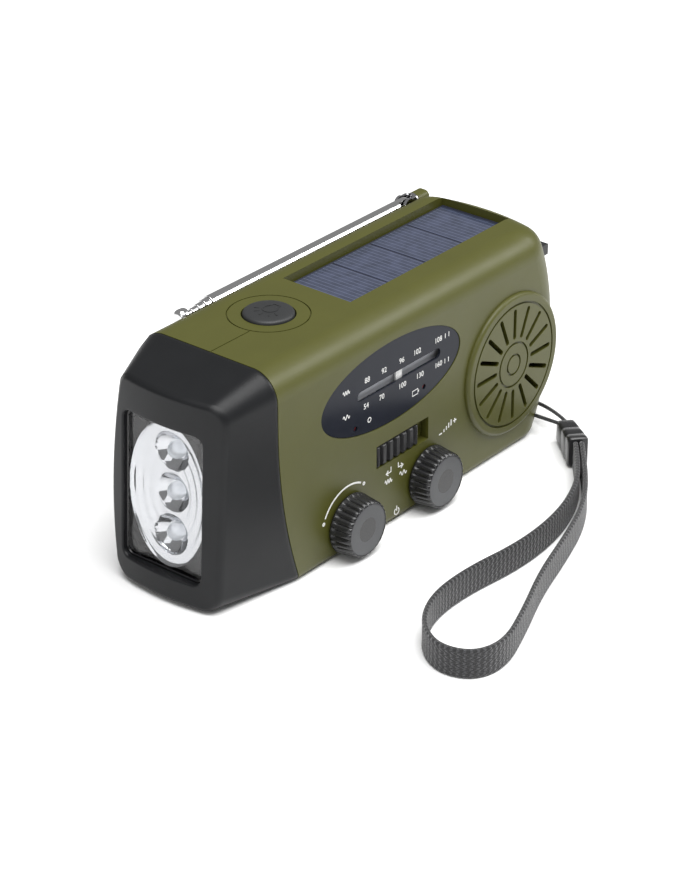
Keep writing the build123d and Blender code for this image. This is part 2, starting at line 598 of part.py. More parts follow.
with BuildPart() as battery_tray:
    block(25.2, 54.0, 15.1, 20.2, 3.6, 35.8)
    block(25.2, 54.0, 16.3, 21.0, 2.0, 34.8, Mode.SUBTRACT)
    block(25.2, 50.0, 4.6, 15.2, 2.0, 3.6)
    block(50.0, 54.0, 4.6, 15.2, 3.2, 3.6)
    for wall_x in (25.2, 53.0):
        block(wall_x, wall_x + 1.0, 4.6, 15.1, 3.6, 35.8)
finish(battery_tray, "battery_tray")

# ---------------------------------------------------------------- crank gear train
idler_x = CRANK_X + (CRANK_TEETH + PINION_TEETH) * GEAR_MODULE / 2
rotor_x = idler_x + (IDLER_TEETH + PINION_TEETH) * GEAR_MODULE / 2
half_pitch = math.pi / PINION_TEETH

with BuildPart() as crank_gear:
    with BuildSketch(along_y(CRANK_X, 14.0, CRANK_Z)):
        gear_outline(CRANK_TEETH, GEAR_MODULE)
        Circle(SHAFT_RADIUS, mode=Mode.SUBTRACT)
        with PolarLocations(9.0, 5):
            Circle(2.6, mode=Mode.SUBTRACT)
    extrude(amount=3.0)
finish(crank_gear, "crank_gear")

with BuildPart() as idler_gear:
    with BuildSketch(along_y(idler_x, 12.6, CRANK_Z)):
        gear_outline(PINION_TEETH, GEAR_MODULE, half_pitch)
    extrude(amount=4.6)
    with BuildSketch(along_y(idler_x, 9.6, CRANK_Z)):
        gear_outline(IDLER_TEETH, GEAR_MODULE)
    extrude(amount=3.0)
    disc(along_y(idler_x, 9.0, CRANK_Z), 1.0 + FIT, 10.0, Mode.SUBTRACT)
finish(idler_gear, "idler_gear")

with BuildPart() as idler_axle:
    disc(along_y(idler_x, 6.8, CRANK_Z), 1.0, 13.6)
finish(idler_axle, "idler_axle")

with BuildPart() as gear_plate:
    block(-39.0, 24.6, 5.6, 6.8, 16.0, 44.0)
    for plate_x in (-39.0, 22.6):
        block(plate_x, plate_x + 2.0, 5.6, 30.0, 26.0, 34.0)
    add(case_hollow, mode=Mode.INTERSECT)
    disc(along_y(rotor_x, 5.0, CRANK_Z), 1.6, 3.0, Mode.SUBTRACT)
finish(gear_plate, "gear_plate")

with BuildPart() as generator_can:
    disc(along_y(rotor_x, -3.4, CRANK_Z), 10.8, 9.0)
    disc(along_y(rotor_x, -2.6, CRANK_Z), 10.2, 9.0, Mode.SUBTRACT)
finish(generator_can, "generator_can")

with BuildPart() as generator_coils:
    disc(along_y(rotor_x, -2.0, CRANK_Z), 10.2, 7.0)
    disc(along_y(rotor_x, -3.0, CRANK_Z), 7.4, 9.0, Mode.SUBTRACT)
finish(generator_coils, "generator_coils")

with BuildPart() as generator_rotor:
    disc(along_y(rotor_x, -1.6, CRANK_Z), 6.9, 6.2)
    disc(along_y(rotor_x, -2.2, CRANK_Z), 1.0, 15.2)
finish(generator_rotor, "generator_rotor")

with BuildPart() as rotor_pinion:
    with BuildSketch(along_y(rotor_x, 9.4, CRANK_Z)):
        gear_outline(PINION_TEETH, GEAR_MODULE, half_pitch)
        Circle(1.0, mode=Mode.SUBTRACT)
    extrude(amount=3.4)
finish(rotor_pinion, "rotor_pinion")

# ---------------------------------------------------------------- crank
with BuildPart() as crank_shaft:
    disc(along_y(CRANK_X, 13.0, CRANK_Z), SHAFT_RADIUS, 15.0)
finish(crank_shaft, "crank_shaft")

pin_x = CRANK_X + ARM_LENGTH - 3.0
arm_tip_x = CRANK_X + ARM_LENGTH + 2.0
with BuildPart() as crank_arm:
    disc(along_y(CRANK_X, ARM_Y0, CRANK_Z), 9.0, ARM_Y1 - ARM_Y0)
    block(CRANK_X, arm_tip_x, ARM_Y0, ARM_Y1, CRANK_Z - ARM_WIDTH / 2, CRANK_Z + ARM_WIDTH / 2)
    fillet(crank_arm.edges().filter_by(Axis.Y).sort_by(Axis.X)[-2:], 2.0)
    chamfer(crank_arm.faces().sort_by(Axis.Y)[-1].edges(), 0.6)
    # window that the handle folds into, open at the tip
    block(-2.5, arm_tip_x + 1, 20.0, 40.0, CRANK_Z - 3.95, CRANK_Z + 3.95, Mode.SUBTRACT)
    disc(along_y(CRANK_X, 20.0, CRANK_Z), SHAFT_RADIUS, 8.0, Mode.SUBTRACT)
    disc(along_y(CRANK_X, 25.0, CRANK_Z), 1.4, 8.0, Mode.SUBTRACT)
    disc(along_y(CRANK_X, 29.4, CRANK_Z), 2.6, 3.0, Mode.SUBTRACT)
    disc(Plane.XY.offset(20.0).move(Location((pin_x, GRIP_Y, 0))), 0.9, 20.0, Mode.SUBTRACT)
finish(crank_arm, "crank_arm")

with BuildPart() as crank_screw:
    disc(along_y(CRANK_X, 28.0, CRANK_Z), 1.4, 1.4)
    disc(along_y(CRANK_X, 29.4, CRANK_Z), 2.4, 1.0)
    block(CRANK_X - 2.0, CRANK_X + 2.0, 30.0, 31.0, 29.7, 30.3, Mode.SUBTRACT)
    block(CRANK_X - 0.3, CRANK_X + 0.3, 30.0, 31.0, 28.0, 32.0, Mode.SUBTRACT)
finish(crank_screw, "crank_screw")

with BuildPart() as handle_pin:
    disc(Plane.XY.offset(24.2).move(Location((pin_x, GRIP_Y, 0))), 0.9, 11.6)
finish(handle_pin, "handle_pin")

with BuildPart() as handle_yoke:
    disc(Plane.XY.offset(CRANK_Z - 3.55).move(Location((pin_x, GRIP_Y, 0))), 2.8, 7.1)
    block(pin_x - 4.6, pin_x, GRIP_Y - 2.0, GRIP_Y + 2.0, CRANK_Z - 2.6, CRANK_Z + 2.6)
    disc(along_x(0.8, GRIP_Y, CRANK_Z), 1.5, pin_x - 4.0)
    disc(Plane.XY.offset(20.0).move(Location((pin_x, GRIP_Y, 0))), 0.9 + FIT, 20.0, Mode.SUBTRACT)
finish(handle_yoke, "handle_yoke")

with BuildPart() as handle_grip:
    disc(along_x(-1.6, GRIP_Y, CRANK_Z), GRIP_RADIUS, 23.6)
    fillet(handle_grip.edges().filter_by(GeomType.CIRCLE), 0.8)
    disc(along_x(0.4, GRIP_Y, CRANK_Z), 1.5 + FIT, 30.0, Mode.SUBTRACT)
finish(handle_grip, "handle_grip")

# ---------------------------------------------------------------- antenna
with BuildPart() as antenna_base:
    block(55.6, 59.8, 18.6, 23.0, 53.2, 59.0)
    fillet(antenna_base.edges().filter_by(Axis.X).sort_by(Axis.Z)[-2:], 1.6)
    disc(along_x(50.0, ROD_Y, ROD_Z), 1.0 + FIT, 12.0, Mode.SUBTRACT)
finish(antenna_base, "antenna_base")

with BuildPart() as antenna_knuckle:
    disc(along_x(PIVOT_X + 2.6, ROD_Y, ROD_Z), 2.2, 1.1)
    disc(along_x(PIVOT_X + 3.0, ROD_Y, ROD_Z), 1.0, 5.0)
    with BuildSketch(along_y(0, ROD_Y - 2.0, 0)):
        with Locations((PIVOT_X, -ROD_Z)):
            Circle(2.1)
        with Locations((PIVOT_X + 1.5, -ROD_Z)):
            Rectangle(3.0, 3.6)
    extrude(amount=4.0)
    block(PIVOT_X - 5, PIVOT_X + 2.6, ROD_Y - 1.15, ROD_Y + 1.15, ROD_Z - 5, ROD_Z + 5, Mode.SUBTRACT)
    disc(along_y(PIVOT_X, 15.0, ROD_Z), 0.8, 12.0, Mode.SUBTRACT)
finish(antenna_knuckle, "antenna_knuckle")

with BuildPart() as antenna_pin:
    disc(along_y(PIVOT_X, ROD_Y - 2.1, ROD_Z), 0.8, 4.2)
finish(antenna_pin, "antenna_pin")


def tube(level, x0, x1, name):
    """One telescopic tube, open towards its thinner neighbour, with a rolled end."""
    radius = TUBE_RADII[level]
    bore = (TUBE_RADII + [TIP_RADIUS])[level + 1] + FIT
    with BuildPart() as piece:
        disc(along_x(x0, ROD_Y, ROD_Z), radius, x1 - x0)
        fillet(piece.edges().sort_by(Axis.X)[0], 0.15)
        disc(along_x(x0 - 1, ROD_Y, ROD_Z), bore, x1 - x0 - (2.0 if level == 0 else -2.0), Mode.SUBTRACT)
        if level == 0:
            block(x1 - 0.5, PIVOT_X, ROD_Y - 0.8, ROD_Y + 0.8, ROD_Z - 1.9, ROD_Z + 1.9)
            disc(along_y(PIVOT_X, ROD_Y - 0.8, ROD_Z), 1.9, 1.6)
            disc(along_y(PIVOT_X, 15.0, ROD_Z), 0.8 + FIT, 12.0, Mode.SUBTRACT)
    finish(piece, name)


tube_back_x = PIVOT_X - 3.6
for level in range(4):
    tube(level, TUBE_END_X - level * TUBE_STEP, tube_back_x - 3.0 * level - (2.4 if level else 0.0),
         f"antenna_tube_{level + 1}")

with BuildPart() as antenna_tip:
    tip_x = TUBE_END_X - 4 * TUBE_STEP
    disc(along_x(tip_x, ROD_Y, ROD_Z), TIP_RADIUS, 68.0)
    disc(along_x(tip_x - 2.6, ROD_Y, ROD_Z), 2.2, 3.0)
    fillet(antenna_tip.edges().filter_by(GeomType.CIRCLE).sort_by(Axis.X)[0], 0.8)
finish(antenna_tip, "antenna_tip")

# ---------------------------------------------------------------- wrist strap
string_radii = bend_radii(STRING_ROUTE)
print("string radii", [round(radius, 2) for radius in string_radii])
with BuildPart() as strap_string:
    with BuildLine() as string_path:
        FilletPolyline(*STRING_ROUTE, radius=string_radii)
    with BuildSketch(Plane(origin=string_path.line @ 0, z_dir=string_path.line % 0)):
        Circle(STRING_RADIUS)
    sweep()
string_share = strap_string.part.volume / (math.pi * STRING_RADIUS**2 * string_path.wires()[0].length)
print("string length", round(string_path.wires()[0].length, 1), "volume share", round(string_share, 4))
finish(strap_string, "strap_string")

band_z = 0.1 + BAND_WIDTH / 2
band_points = [(x, y, band_z) for x, y in BAND_ROUTE]
band_radii = bend_radii(band_points)
print("webbing radii", [round(radius, 1) for radius in band_radii])
with BuildPart() as strap_webbing:
    with BuildLine() as band_path:
        FilletPolyline(*band_points, radius=band_radii)
    band_start = band_path.line @ 0
    with BuildSketch(Plane(origin=band_start, x_dir=(0, 0, 1), z_dir=band_path.line % 0)):
        Rectangle(BAND_WIDTH, BAND_THICK)
    sweep()
band_share = strap_webbing.part.volume / (BAND_WIDTH * BAND_THICK * band_path.wires()[0].length)
print("webbing length", round(band_path.wires()[0].length, 1), "volume share", round(band_share, 4))
finish(strap_webbing, "strap_webbing")

lock_axis = Vector(*LOCK_NEAR) - Vector(*LOCK_FAR)
with BuildPart() as strap_lock:
    for (lock_x, lock_y), width, height in ((LOCK_FAR, 5.0, 6.4), (LOCK_NEAR, 5.6, 9.0)):
        end_plane = Plane(origin=(lock_x, lock_y, 0.2 + height / 2), x_dir=(0, 0, 1), z_dir=lock_axis)
        with BuildSketch(end_plane):
            RectangleRounded(height, width, 1.0)
    loft()
    add(strap_string.part, mode=Mode.SUBTRACT)
    add(strap_webbing.part, mode=Mode.SUBTRACT)
finish(strap_lock, "strap_lock")
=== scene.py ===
"""Emergency radio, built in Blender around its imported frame. Lengths below are millimetres."""
import math

import bmesh
import bpy
from mathutils import Matrix, Vector


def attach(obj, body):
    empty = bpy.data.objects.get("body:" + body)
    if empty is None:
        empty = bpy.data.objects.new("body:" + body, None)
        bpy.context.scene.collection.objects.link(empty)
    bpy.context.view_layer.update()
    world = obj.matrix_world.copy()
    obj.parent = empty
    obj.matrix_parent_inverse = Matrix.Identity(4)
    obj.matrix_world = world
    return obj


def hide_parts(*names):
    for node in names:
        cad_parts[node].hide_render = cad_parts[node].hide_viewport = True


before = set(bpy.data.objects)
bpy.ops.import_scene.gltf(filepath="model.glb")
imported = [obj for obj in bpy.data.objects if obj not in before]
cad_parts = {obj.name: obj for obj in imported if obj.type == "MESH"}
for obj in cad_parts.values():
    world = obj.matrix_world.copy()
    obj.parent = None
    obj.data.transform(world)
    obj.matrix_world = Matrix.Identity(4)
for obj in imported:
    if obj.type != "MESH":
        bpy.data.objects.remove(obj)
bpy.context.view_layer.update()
MM = 0.001
scene = bpy.context.scene
scene.view_settings.view_transform = "Standard"

# ------------------------------------------------------------------ layout, shared with the frame
NOSE_FOOT_X, NOSE_TOP_X, NOSE_TOP_Z = -71.0, -68.0, 56.0
CROWN_Y, CROWN, FACE_RADIUS = -1.0, 2.3, 63.0
SEAM_X, SEAM_FOOT_X, SEAM_TURN_Z = -52.0, -44.3, 45.0
FRONT_Y, BACK_Y, BULGE, MID_Z, TOP_Z = -22.5, 22.5, 250.0, 30.0, 60.0
TOP_EDGE, BOTTOM_EDGE = 7.5, 2.5
ROD_Y, ROD_Z, ROD_GROOVE = 20.8, 57.2, 2.5
LAMP_Y, LAMP_H, WINDOW_W, WINDOW_H, LED_PITCH = -0.75, 27.4, 25.7, 40.0, 11.2
FACE_WALL, MASK_DEPTH, BOWL_DEPTH, LED_DEPTH = 1.5, 1.52, 1.65, 4.9    # behind the lamp face's plane
BOWL_W, BOWL_H = 12.5, 19.4                    # half axes of the dish
CUP_RADIUS, CUP_FLOOR_RADIUS = 5.3, 2.6        # cup round each LED
KNOB_Z, TUNE_X, VOLUME_X = 8.5, -25.5, 6.6
TORCH_X, TORCH_Y = -27.2, 1.6
GRIP_Y, CRANK_Z = 29.2, 30.0
KNOB_BACK_Y = -22.9
TORCH_BASE_Z = 57.2
STRING_ROUTE = [
    (57.1, -31.9, 5.3), (61.9, -23.5, 5.1), (62.6, -11.4, 5.0),
    (55.9, -11.4, 5.0), (55.9, -21.6, 5.0), (55.9, -30.9, 5.3),
]
BAND_ROUTE = [
    (46.6, -41.4), (36.5, -49.8), (25.0, -56.2), (11.0, -60.2), (-6.0, -61.2), (-24.0, -58.6),
    (-38.5, -59.3), (-49.8, -64.6), (-55.9, -73.6), (-53.4, -82.8), (-44.2, -85.4),
    (-30.0, -80.4), (-13.5, -73.4), (4.0, -68.2), (20.5, -62.4), (35.0, -53.2), (47.4, -42.9),
]
BAND_WIDTH, BAND_THICK = 8.0, 1.3
LOCK_FAR, LOCK_NEAR = (56.8, -31.0), (46.5, -42.5)

# ------------------------------------------------------------------ camera
camera_data = bpy.data.cameras.new("camera")
camera_data.lens = 117.9
camera_data.sensor_width = 36.0
camera_data.clip_start = 0.01
camera = bpy.data.objects.new("camera", camera_data)
scene.collection.objects.link(camera)
camera.location = Vector((-506.0, -414.0, 368.0)) * MM
view_line = Vector((-40.4, -35.1, 44.0)) * MM - camera.location
camera.rotation_euler = view_line.to_track_quat("-Z", "Y").to_euler()
scene.camera = camera


# ------------------------------------------------------------------ material helpers
class Mat:
    """A principled material with short calls for its procedural nodes."""

    def __init__(self, name, color, rough=0.5, **sockets):
        self.m = bpy.data.materials.new(name)
        self.m.use_nodes = True
        self.t = self.m.node_tree
        self.b = self.t.nodes["Principled BSDF"]
        self.b.inputs["Base Color"].default_value = (*color, 1.0)
        self.b.inputs["Roughness"].default_value = rough
        for key, value in sockets.items():
            self.b.inputs[key.replace("_", " ")].default_value = value
        self.coord = self.node("ShaderNodeTexCoord").outputs["Object"]
        self.height = None

    def node(self, kind, **settings):
        made = self.t.nodes.new(kind)
        for key, value in settings.items():
            setattr(made, key, value)
        return made

    def link(self, source, target):
        self.t.links.new(source, target)

    def noise(self, scale, detail=4.0, rough=0.55, stretch=(1, 1, 1)):
        mapping = self.node("ShaderNodeMapping")
        mapping.inputs["Scale"].default_value = stretch
        self.link(self.coord, mapping.inputs["Vector"])
        made = self.node("ShaderNodeTexNoise")
        made.inputs["Scale"].default_value = scale
        made.inputs["Detail"].default_value = detail
        made.inputs["Roughness"].default_value = rough
        self.link(mapping.outputs["Vector"], made.inputs["Vector"])
        return made.outputs["Fac"]

    def ramp(self, source, stops):
        made = self.node("ShaderNodeValToRGB")
        band = made.color_ramp
        while len(band.elements) < len(stops):
            band.elements.new(0.5)
        for element, (place, color) in zip(band.elements, stops):
            element.position = place
            element.color = (*color, 1.0) if len(color) == 3 else color
        self.link(source, made.inputs["Fac"])
        return made.outputs["Color"]

    def span(self, source, low, high):
        made = self.node("ShaderNodeMapRange")
        made.inputs["To Min"].default_value = low
        made.inputs["To Max"].default_value = high
        self.link(source, made.inputs["Value"])
        return made.outputs["Result"]

    def math(self, operation, a, b=None):
        made = self.node("ShaderNodeMath", operation=operation)
        for socket, value in zip(made.inputs, (a, b)):
            if value is None:
                continue
            if isinstance(value, (int, float)):
                socket.default_value = value
            else:
                self.link(value, socket)
        return made.outputs["Value"]

    def bump(self, source, distance, strength=1.0):
        made = self.node("ShaderNodeBump")
        made.inputs["Distance"].default_value = distance * MM
        made.inputs["Strength"].default_value = strength
        self.link(source, made.inputs["Height"])
        if self.height is not None:
            self.link(self.height, made.inputs["Normal"])
        self.height = made.outputs["Normal"]
        self.link(self.height, self.b.inputs["Normal"])

    def mottle(self, color, amount, scale):
        """Colour that varies a little over the surface."""
        low = [c * (1 - amount) for c in color]
        high = [c * (1 + amount) for c in color]
        self.link(self.ramp(self.noise(scale), [(0.3, low), (0.7, high)]), self.b.inputs["Base Color"])

    def vary_rough(self, low, high, scale):
        self.link(self.span(self.noise(scale, 5.0), low, high), self.b.inputs["Roughness"])


def moulded(name, color, rough, grain=0.02, grain_scale=2600, mottle=0.05, **sockets):
    """Moulded plastic: fine spark grain, faint colour drift, uneven gloss."""
    made = Mat(name, color, rough, **sockets)
    made.mottle(color, mottle, 90)
    made.vary_rough(rough - 0.05, rough + 0.06, 160)
    made.bump(made.noise(grain_scale, 2.0), grain)
    return made


def metal(name, color, rough, brushed=None, **sockets):
    made = Mat(name, color, rough, Metallic=1.0, **sockets)
    made.vary_rough(max(rough - 0.04, 0.01), rough + 0.06, 300)
    if brushed:
        made.bump(made.noise(900, 3.0, 0.5, brushed), 0.01)
    else:
        made.bump(made.noise(500, 2.0), 0.004)
    return made


OLIVE = (0.066, 0.067, 0.011)
olive = moulded("olive_plastic", OLIVE, 0.42, 0.012, 3000, 0.04, Specular_IOR_Level=0.4)
bezel_black = moulded("bezel_plastic", (0.008, 0.0085, 0.0095), 0.38, 0.015, 2600, 0.1,
                      Specular_IOR_Level=0.25)
rim_black = moulded("rim_plastic", (0.008, 0.008, 0.009), 0.16, 0.003, 1500, 0.1)
knob_gloss = moulded("knob_plastic", (0.012, 0.012, 0.013), 0.2, 0.004, 1500, 0.1)
knob_face = moulded("knob_face_plastic", (0.05, 0.052, 0.056), 0.4, 0.02, 3000, 0.08)
button_rubber = moulded("button_rubber", (0.02, 0.021, 0.022), 0.5, 0.02, 2800, 0.1)
rubber = moulded("soft_rubber", (0.014, 0.014, 0.015), 0.5, 0.02, 2400, 0.1)
slider_black = moulded("slider_plastic", (0.01, 0.01, 0.011), 0.34, 0.01, 2600, 0.1)
crank_black = moulded("crank_plastic", (0.017, 0.018, 0.019), 0.38, 0.015, 2600, 0.1)
lock_black = moulded("lock_plastic", (0.018, 0.018, 0.019), 0.28, 0.012, 2200, 0.1)
dial_navy = moulded("dial_plastic", (0.012, 0.014, 0.021), 0.17, 0.002, 1200, 0.08, Specular_IOR_Level=0.15)
dial_strip = moulded("dial_strip_print", (0.42, 0.43, 0.46), 0.4, 0.004, 1500, 0.08)
chip_black = moulded("component_plastic", (0.02, 0.02, 0.022), 0.45, 0.02, 2000, 0.1)
nylon = moulded("gear_nylon", (0.68, 0.66, 0.58), 0.4, 0.01, 1500, 0.04)
nylon.b.inputs["Subsurface Weight"].default_value = 0.15
nylon.b.inputs["Subsurface Radius"].default_value = (0.001, 0.001, 0.0008)
cream = moulded("capacitor_plastic", (0.6, 0.57, 0.48), 0.4, 0.01, 1500, 0.04)
wrap_green = moulded("battery_sleeve", (0.02, 0.17, 0.08), 0.25, 0.004, 800, 0.05)
board = moulded("circuit_board", (0.015, 0.1, 0.04), 0.3, 0.02, 700, 0.2)
paper_black = moulded("speaker_paper", (0.02, 0.02, 0.02), 0.85, 0.05, 1600, 0.2)
ferrite = moulded("ferrite", (0.06, 0.06, 0.065), 0.6, 0.03, 1500, 0.2)
copper = moulded("enamelled_copper", (0.45, 0.16, 0.06), 0.3, 0.03, 900, 0.2, Metallic=0.8)
white_print = moulded("white_print", (0.78, 0.78, 0.76), 0.5, 0.004, 2500, 0.03)
pointer_white = moulded("pointer_plastic", (0.8, 0.8, 0.79), 0.35, 0.004, 2000, 0.02)
chrome = metal("antenna_chrome", (0.78, 0.78, 0.78), 0.09)
dark_chrome = metal("knuckle_chrome", (0.55, 0.55, 0.56), 0.14)
steel = metal("turned_steel", (0.56, 0.56, 0.57), 0.25, (1, 30, 30))
stamped = metal("stamped_steel", (0.5, 0.5, 0.5), 0.32, (30, 1, 1))
mirror_coat = metal("reflector_coat", (0.55, 0.56, 0.58), 0.08)

lens = Mat("lens_clear", (1.0, 1.0, 1.0), 0.03, Transmission_Weight=1.0, IOR=1.2)
lens.bump(lens.noise(60, 1.0), 0.004)
led_clear = Mat("led_epoxy", (0.95, 0.97, 1.0), 0.05, Transmission_Weight=0.7, IOR=1.4,
                Emission_Color=(0.9, 0.95, 1.0, 1.0), Emission_Strength=0.12)
led_clear.bump(led_clear.noise(300, 1.0), 0.002)
red_clear = Mat("indicator_epoxy", (0.25, 0.02, 0.02), 0.15)
red_clear.bump(red_clear.noise(500, 1.0), 0.002)

# solar cell: fine grid fingers along Y, four strips, a lighter blue band at the lamp end
solar = Mat("solar_cell", (0.03, 0.035, 0.06), 0.22, Coat_Weight=0.6, Coat_Roughness=0.12)
axes = solar.node("ShaderNodeSeparateXYZ")
solar.link(solar.coord, axes.inputs["Vector"])
finger = solar.math("SINE", solar.math("MULTIPLY", axes.outputs["X"], 2 * math.pi / (1.55 * MM)))
finger = solar.span(finger, 0.0, 1.0)
base = solar.ramp(solar.noise(260, 6.0, 0.6), [(0.3, (0.02, 0.026, 0.05)), (0.7, (0.045, 0.055, 0.1))])
mix = solar.node("ShaderNodeMix", data_type="RGBA")
mix.inputs["B"].default_value = (0.11, 0.13, 0.2, 1.0)
solar.link(solar.ramp(finger, [(0.86, (0, 0, 0)), (0.97, (0.75, 0.75, 0.75))]), mix.inputs["Factor"])
solar.link(base, mix.inputs["A"])
solar.link(mix.outputs["Result"], solar.b.inputs["Base Color"])
solar.bump(solar.noise(400, 3.0), 0.004)

solar_gap = moulded("solar_resin", (0.018, 0.02, 0.035), 0.2, 0.004, 700, 0.1)
solar_edge = moulded("solar_edge_band", (0.035, 0.055, 0.16), 0.2, 0.004, 700, 0.1)


def woven(name, color, u_pitch, v_pitch, depth):
    """Plain weave on a piece whose UV runs along and across it, in metres; its colour is painted shade in the
    hollows between threads and painted highlight on their crowns.
    """
    made = Mat(name, color, 0.72, Sheen_Weight=0.25, Sheen_Roughness=0.5)
    uv = made.node("ShaderNodeSeparateXYZ")
    made.link(made.node("ShaderNodeTexCoord").outputs["UV"], uv.inputs["Vector"])
    along = made.math("MULTIPLY", uv.outputs["X"], 2 * math.pi / (u_pitch * MM))
    across = made.math("MULTIPLY", uv.outputs["Y"], 2 * math.pi / (v_pitch * MM))
    slant = made.math("ADD", along, made.math("MULTIPLY", made.math("SINE", across), 1.2))
    weave = made.math("MULTIPLY", made.math("SINE", slant), made.math("SINE", across))
    weave = made.span(made.math("ADD", weave, made.math("MULTIPLY", made.noise(3000, 2.0), 0.5)), 0.0, 1.0)
    # painted shade and painted highlight: the colour follows the weave's relief, darker in the hollows
    # between threads and lighter on their crowns
    low, high = [c * 0.45 for c in color], [c * 1.8 for c in color]
    made.link(made.ramp(weave, [(0.2, low), (0.8, high)]), made.b.inputs["Base Color"])
    made.bump(weave, depth)
    return made


webbing = woven("strap_webbing_weave", (0.022, 0.022, 0.024), 1.5, 1.6, 0.25)
braid = woven("strap_string_braid", (0.016, 0.016, 0.018), 0.7, 0.5, 0.06)

CAD_MATERIALS = {
    olive: ["front_shell", "rear_shell", "antenna_base"],
    steel: ["case_screws", "tuning_shaft", "volume_shaft", "idler_axle", "crank_shaft",
            "crank_screw", "handle_pin"],
    stamped: ["torch_switch", "volume_control", "band_switch", "usb_socket", "speaker_frame",
              "gear_plate", "generator_can"],
    board: ["lamp_board", "main_board"],
    lens: ["lamp_lens"],
    dial_navy: ["dial_window"],
    dial_strip: ["dial_backing"],
    red_clear: ["indicator_leds"],
    pointer_white: ["dial_pointer"],
    nylon: ["dial_rack", "tuning_gear", "crank_gear", "idler_gear", "rotor_pinion"],
    cream: ["tuning_capacitor"],
    paper_black: ["speaker_cone"],
    ferrite: ["speaker_magnet", "generator_rotor"],
    copper: ["generator_coils"],
    chip_black: ["board_chips", "earphone_socket", "battery_tray"],
    rubber: ["port_cover"],
    wrap_green: ["battery_cells"],
    crank_black: ["crank_arm", "handle_yoke"],
    chrome: ["antenna_tube_1", "antenna_tube_2", "antenna_tube_3", "antenna_tube_4"],
    dark_chrome: ["antenna_knuckle", "antenna_pin"],
}
for material, nodes in CAD_MATERIALS.items():
    for node in nodes:
        mesh = bpy.data.objects[node].data
        mesh.materials.clear()
        mesh.materials.append(material.m)


# ------------------------------------------------------------------ mesh helpers
def build(name, verts, faces, material, body="case", slot=None, replaces=None, smooth=True, uvs=None,
          sharp=None):
    """Make one mesh piece from points in millimetres and put it on its body."""
    mesh = bpy.data.meshes.new(name)
    mesh.from_pydata([Vector(v) * MM for v in verts], [], faces)
    work = bmesh.new()
    work.from_mesh(mesh)
    bmesh.ops.recalc_face_normals(work, faces=work.faces)
    work.to_mesh(mesh)
    work.free()
    if uvs:
        layer = mesh.uv_layers.new(name="UVMap")
        for loop in mesh.loops:
            layer.data[loop.index].uv = uvs[loop.vertex_index]
    if smooth:
        mesh.shade_smooth()
        if sharp:
            mesh.set_sharp_from_angle(angle=math.radians(sharp))
    for one in material if isinstance(material, (list, tuple)) else [material]:
        mesh.materials.append(one.m)
    piece = bpy.data.objects.new(name, mesh)
    scene.collection.objects.link(piece)
    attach(piece, body)
    if replaces:
        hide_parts(*replaces)
    return piece


def rings_to_faces(ring_count, size, closed=True, cap_start=False, cap_end=False):
    """Quads between rings of points that follow each other in one list."""
    faces = []
    span = size if closed else size - 1
    for ring in range(ring_count - 1):
        for index in range(span):
            nxt = (index + 1) % size
            faces.append((ring * size + index, ring * size + nxt,
                          (ring + 1) * size + nxt, (ring + 1) * size + index))
    if cap_start:
        faces.append(tuple(range(size))[::-1])
    if cap_end:
        faces.append(tuple(range((ring_count - 1) * size, ring_count * size)))
    return faces


def lathe(name, center, axis, profile, count, material, shape=None, **options):
    """Turned piece: profile is (radius, distance along the axis); shape bends each radius."""
    frame_axes = {"x": ((0, 1, 0), (0, 0, 1), (1, 0, 0)), "-y": ((1, 0, 0), (0, 0, 1), (0, -1, 0)),
                  "y": ((1, 0, 0), (0, 0, -1), (0, 1, 0)), "z": ((1, 0, 0), (0, 1, 0), (0, 0, 1))}[axis]
    side, up, out = (Vector(v) for v in frame_axes)
    verts = []
    for radius, along in profile:
        for step in range(count):
            angle = 2 * math.pi * step / count
            bent = shape(radius, along, angle) if shape else radius
            verts.append(Vector(center) + side * bent * math.cos(angle) + up * bent * math.sin(angle)
                         + out * along)
    return build(name, verts, rings_to_faces(len(profile), count, cap_start=True, cap_end=True),
                 material, **options)


def arc(center, radius, start, end, steps):
    """Points of an arc in a 2-D plane, angles in degrees."""
    return [(center[0] + radius * math.cos(math.radians(start + (end - start) * i / steps)),
             center[1] + radius * math.sin(math.radians(start + (end - start) * i / steps)))
            for i in range(steps + 1)]


# ------------------------------------------------------------------ cords
def nurbs_points(name, points, bevel=0.0):
    """Smooth curve through the control polygon of a route."""
    data = bpy.data.curves.new(name, "CURVE")
    data.dimensions = "3D"
    data.resolution_u = 12
    spline = data.splines.new("NURBS")
    spline.points.add(len(points) - 1)
    for target, point in zip(spline.points, points):
        target.co = (*(Vector(point) * MM), 1.0)
    spline.order_u = 3
    spline.use_endpoint_u = True
    data.bevel_depth = bevel * MM
    data.bevel_resolution = 4
    made = bpy.data.objects.new(name, data)
    scene.collection.objects.link(made)
    return made


string = nurbs_points("wrist_string", STRING_ROUTE, 0.5)
string.data.materials.append(braid.m)
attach(string, "case")
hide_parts("strap_string")

BAND_Z = 0.1 + BAND_WIDTH / 2
band_guide = nurbs_points("band_guide", [(x, y, BAND_Z) for x, y in BAND_ROUTE])
bpy.context.view_layer.update()
guide_mesh = bpy.data.meshes.new_from_object(band_guide.evaluated_get(bpy.context.evaluated_depsgraph_get()))
band_path = [vertex.co.copy() for vertex in guide_mesh.vertices]
bpy.data.objects.remove(band_guide)
bpy.data.meshes.remove(guide_mesh)


def band_section():
    """Outline of the webbing: flat faces, rolled selvedges, as (through, up) in millimetres."""
    half_t, half_w = BAND_THICK / 2, BAND_WIDTH / 2
    outline = arc((0, half_w - half_t), half_t, 0, 180, 6)
    outline += [(-half_t * 0.86, half_w - 1.4), (-half_t * 0.9, 0.0), (-half_t * 0.86, 1.4 - half_w)]
    outline += arc((0, half_t - half_w), half_t, 180, 360, 6)
    outline += [(half_t * 0.86, 1.4 - half_w), (half_t * 0.9, 0.0), (half_t * 0.86, half_w - 1.4)]
    return outline


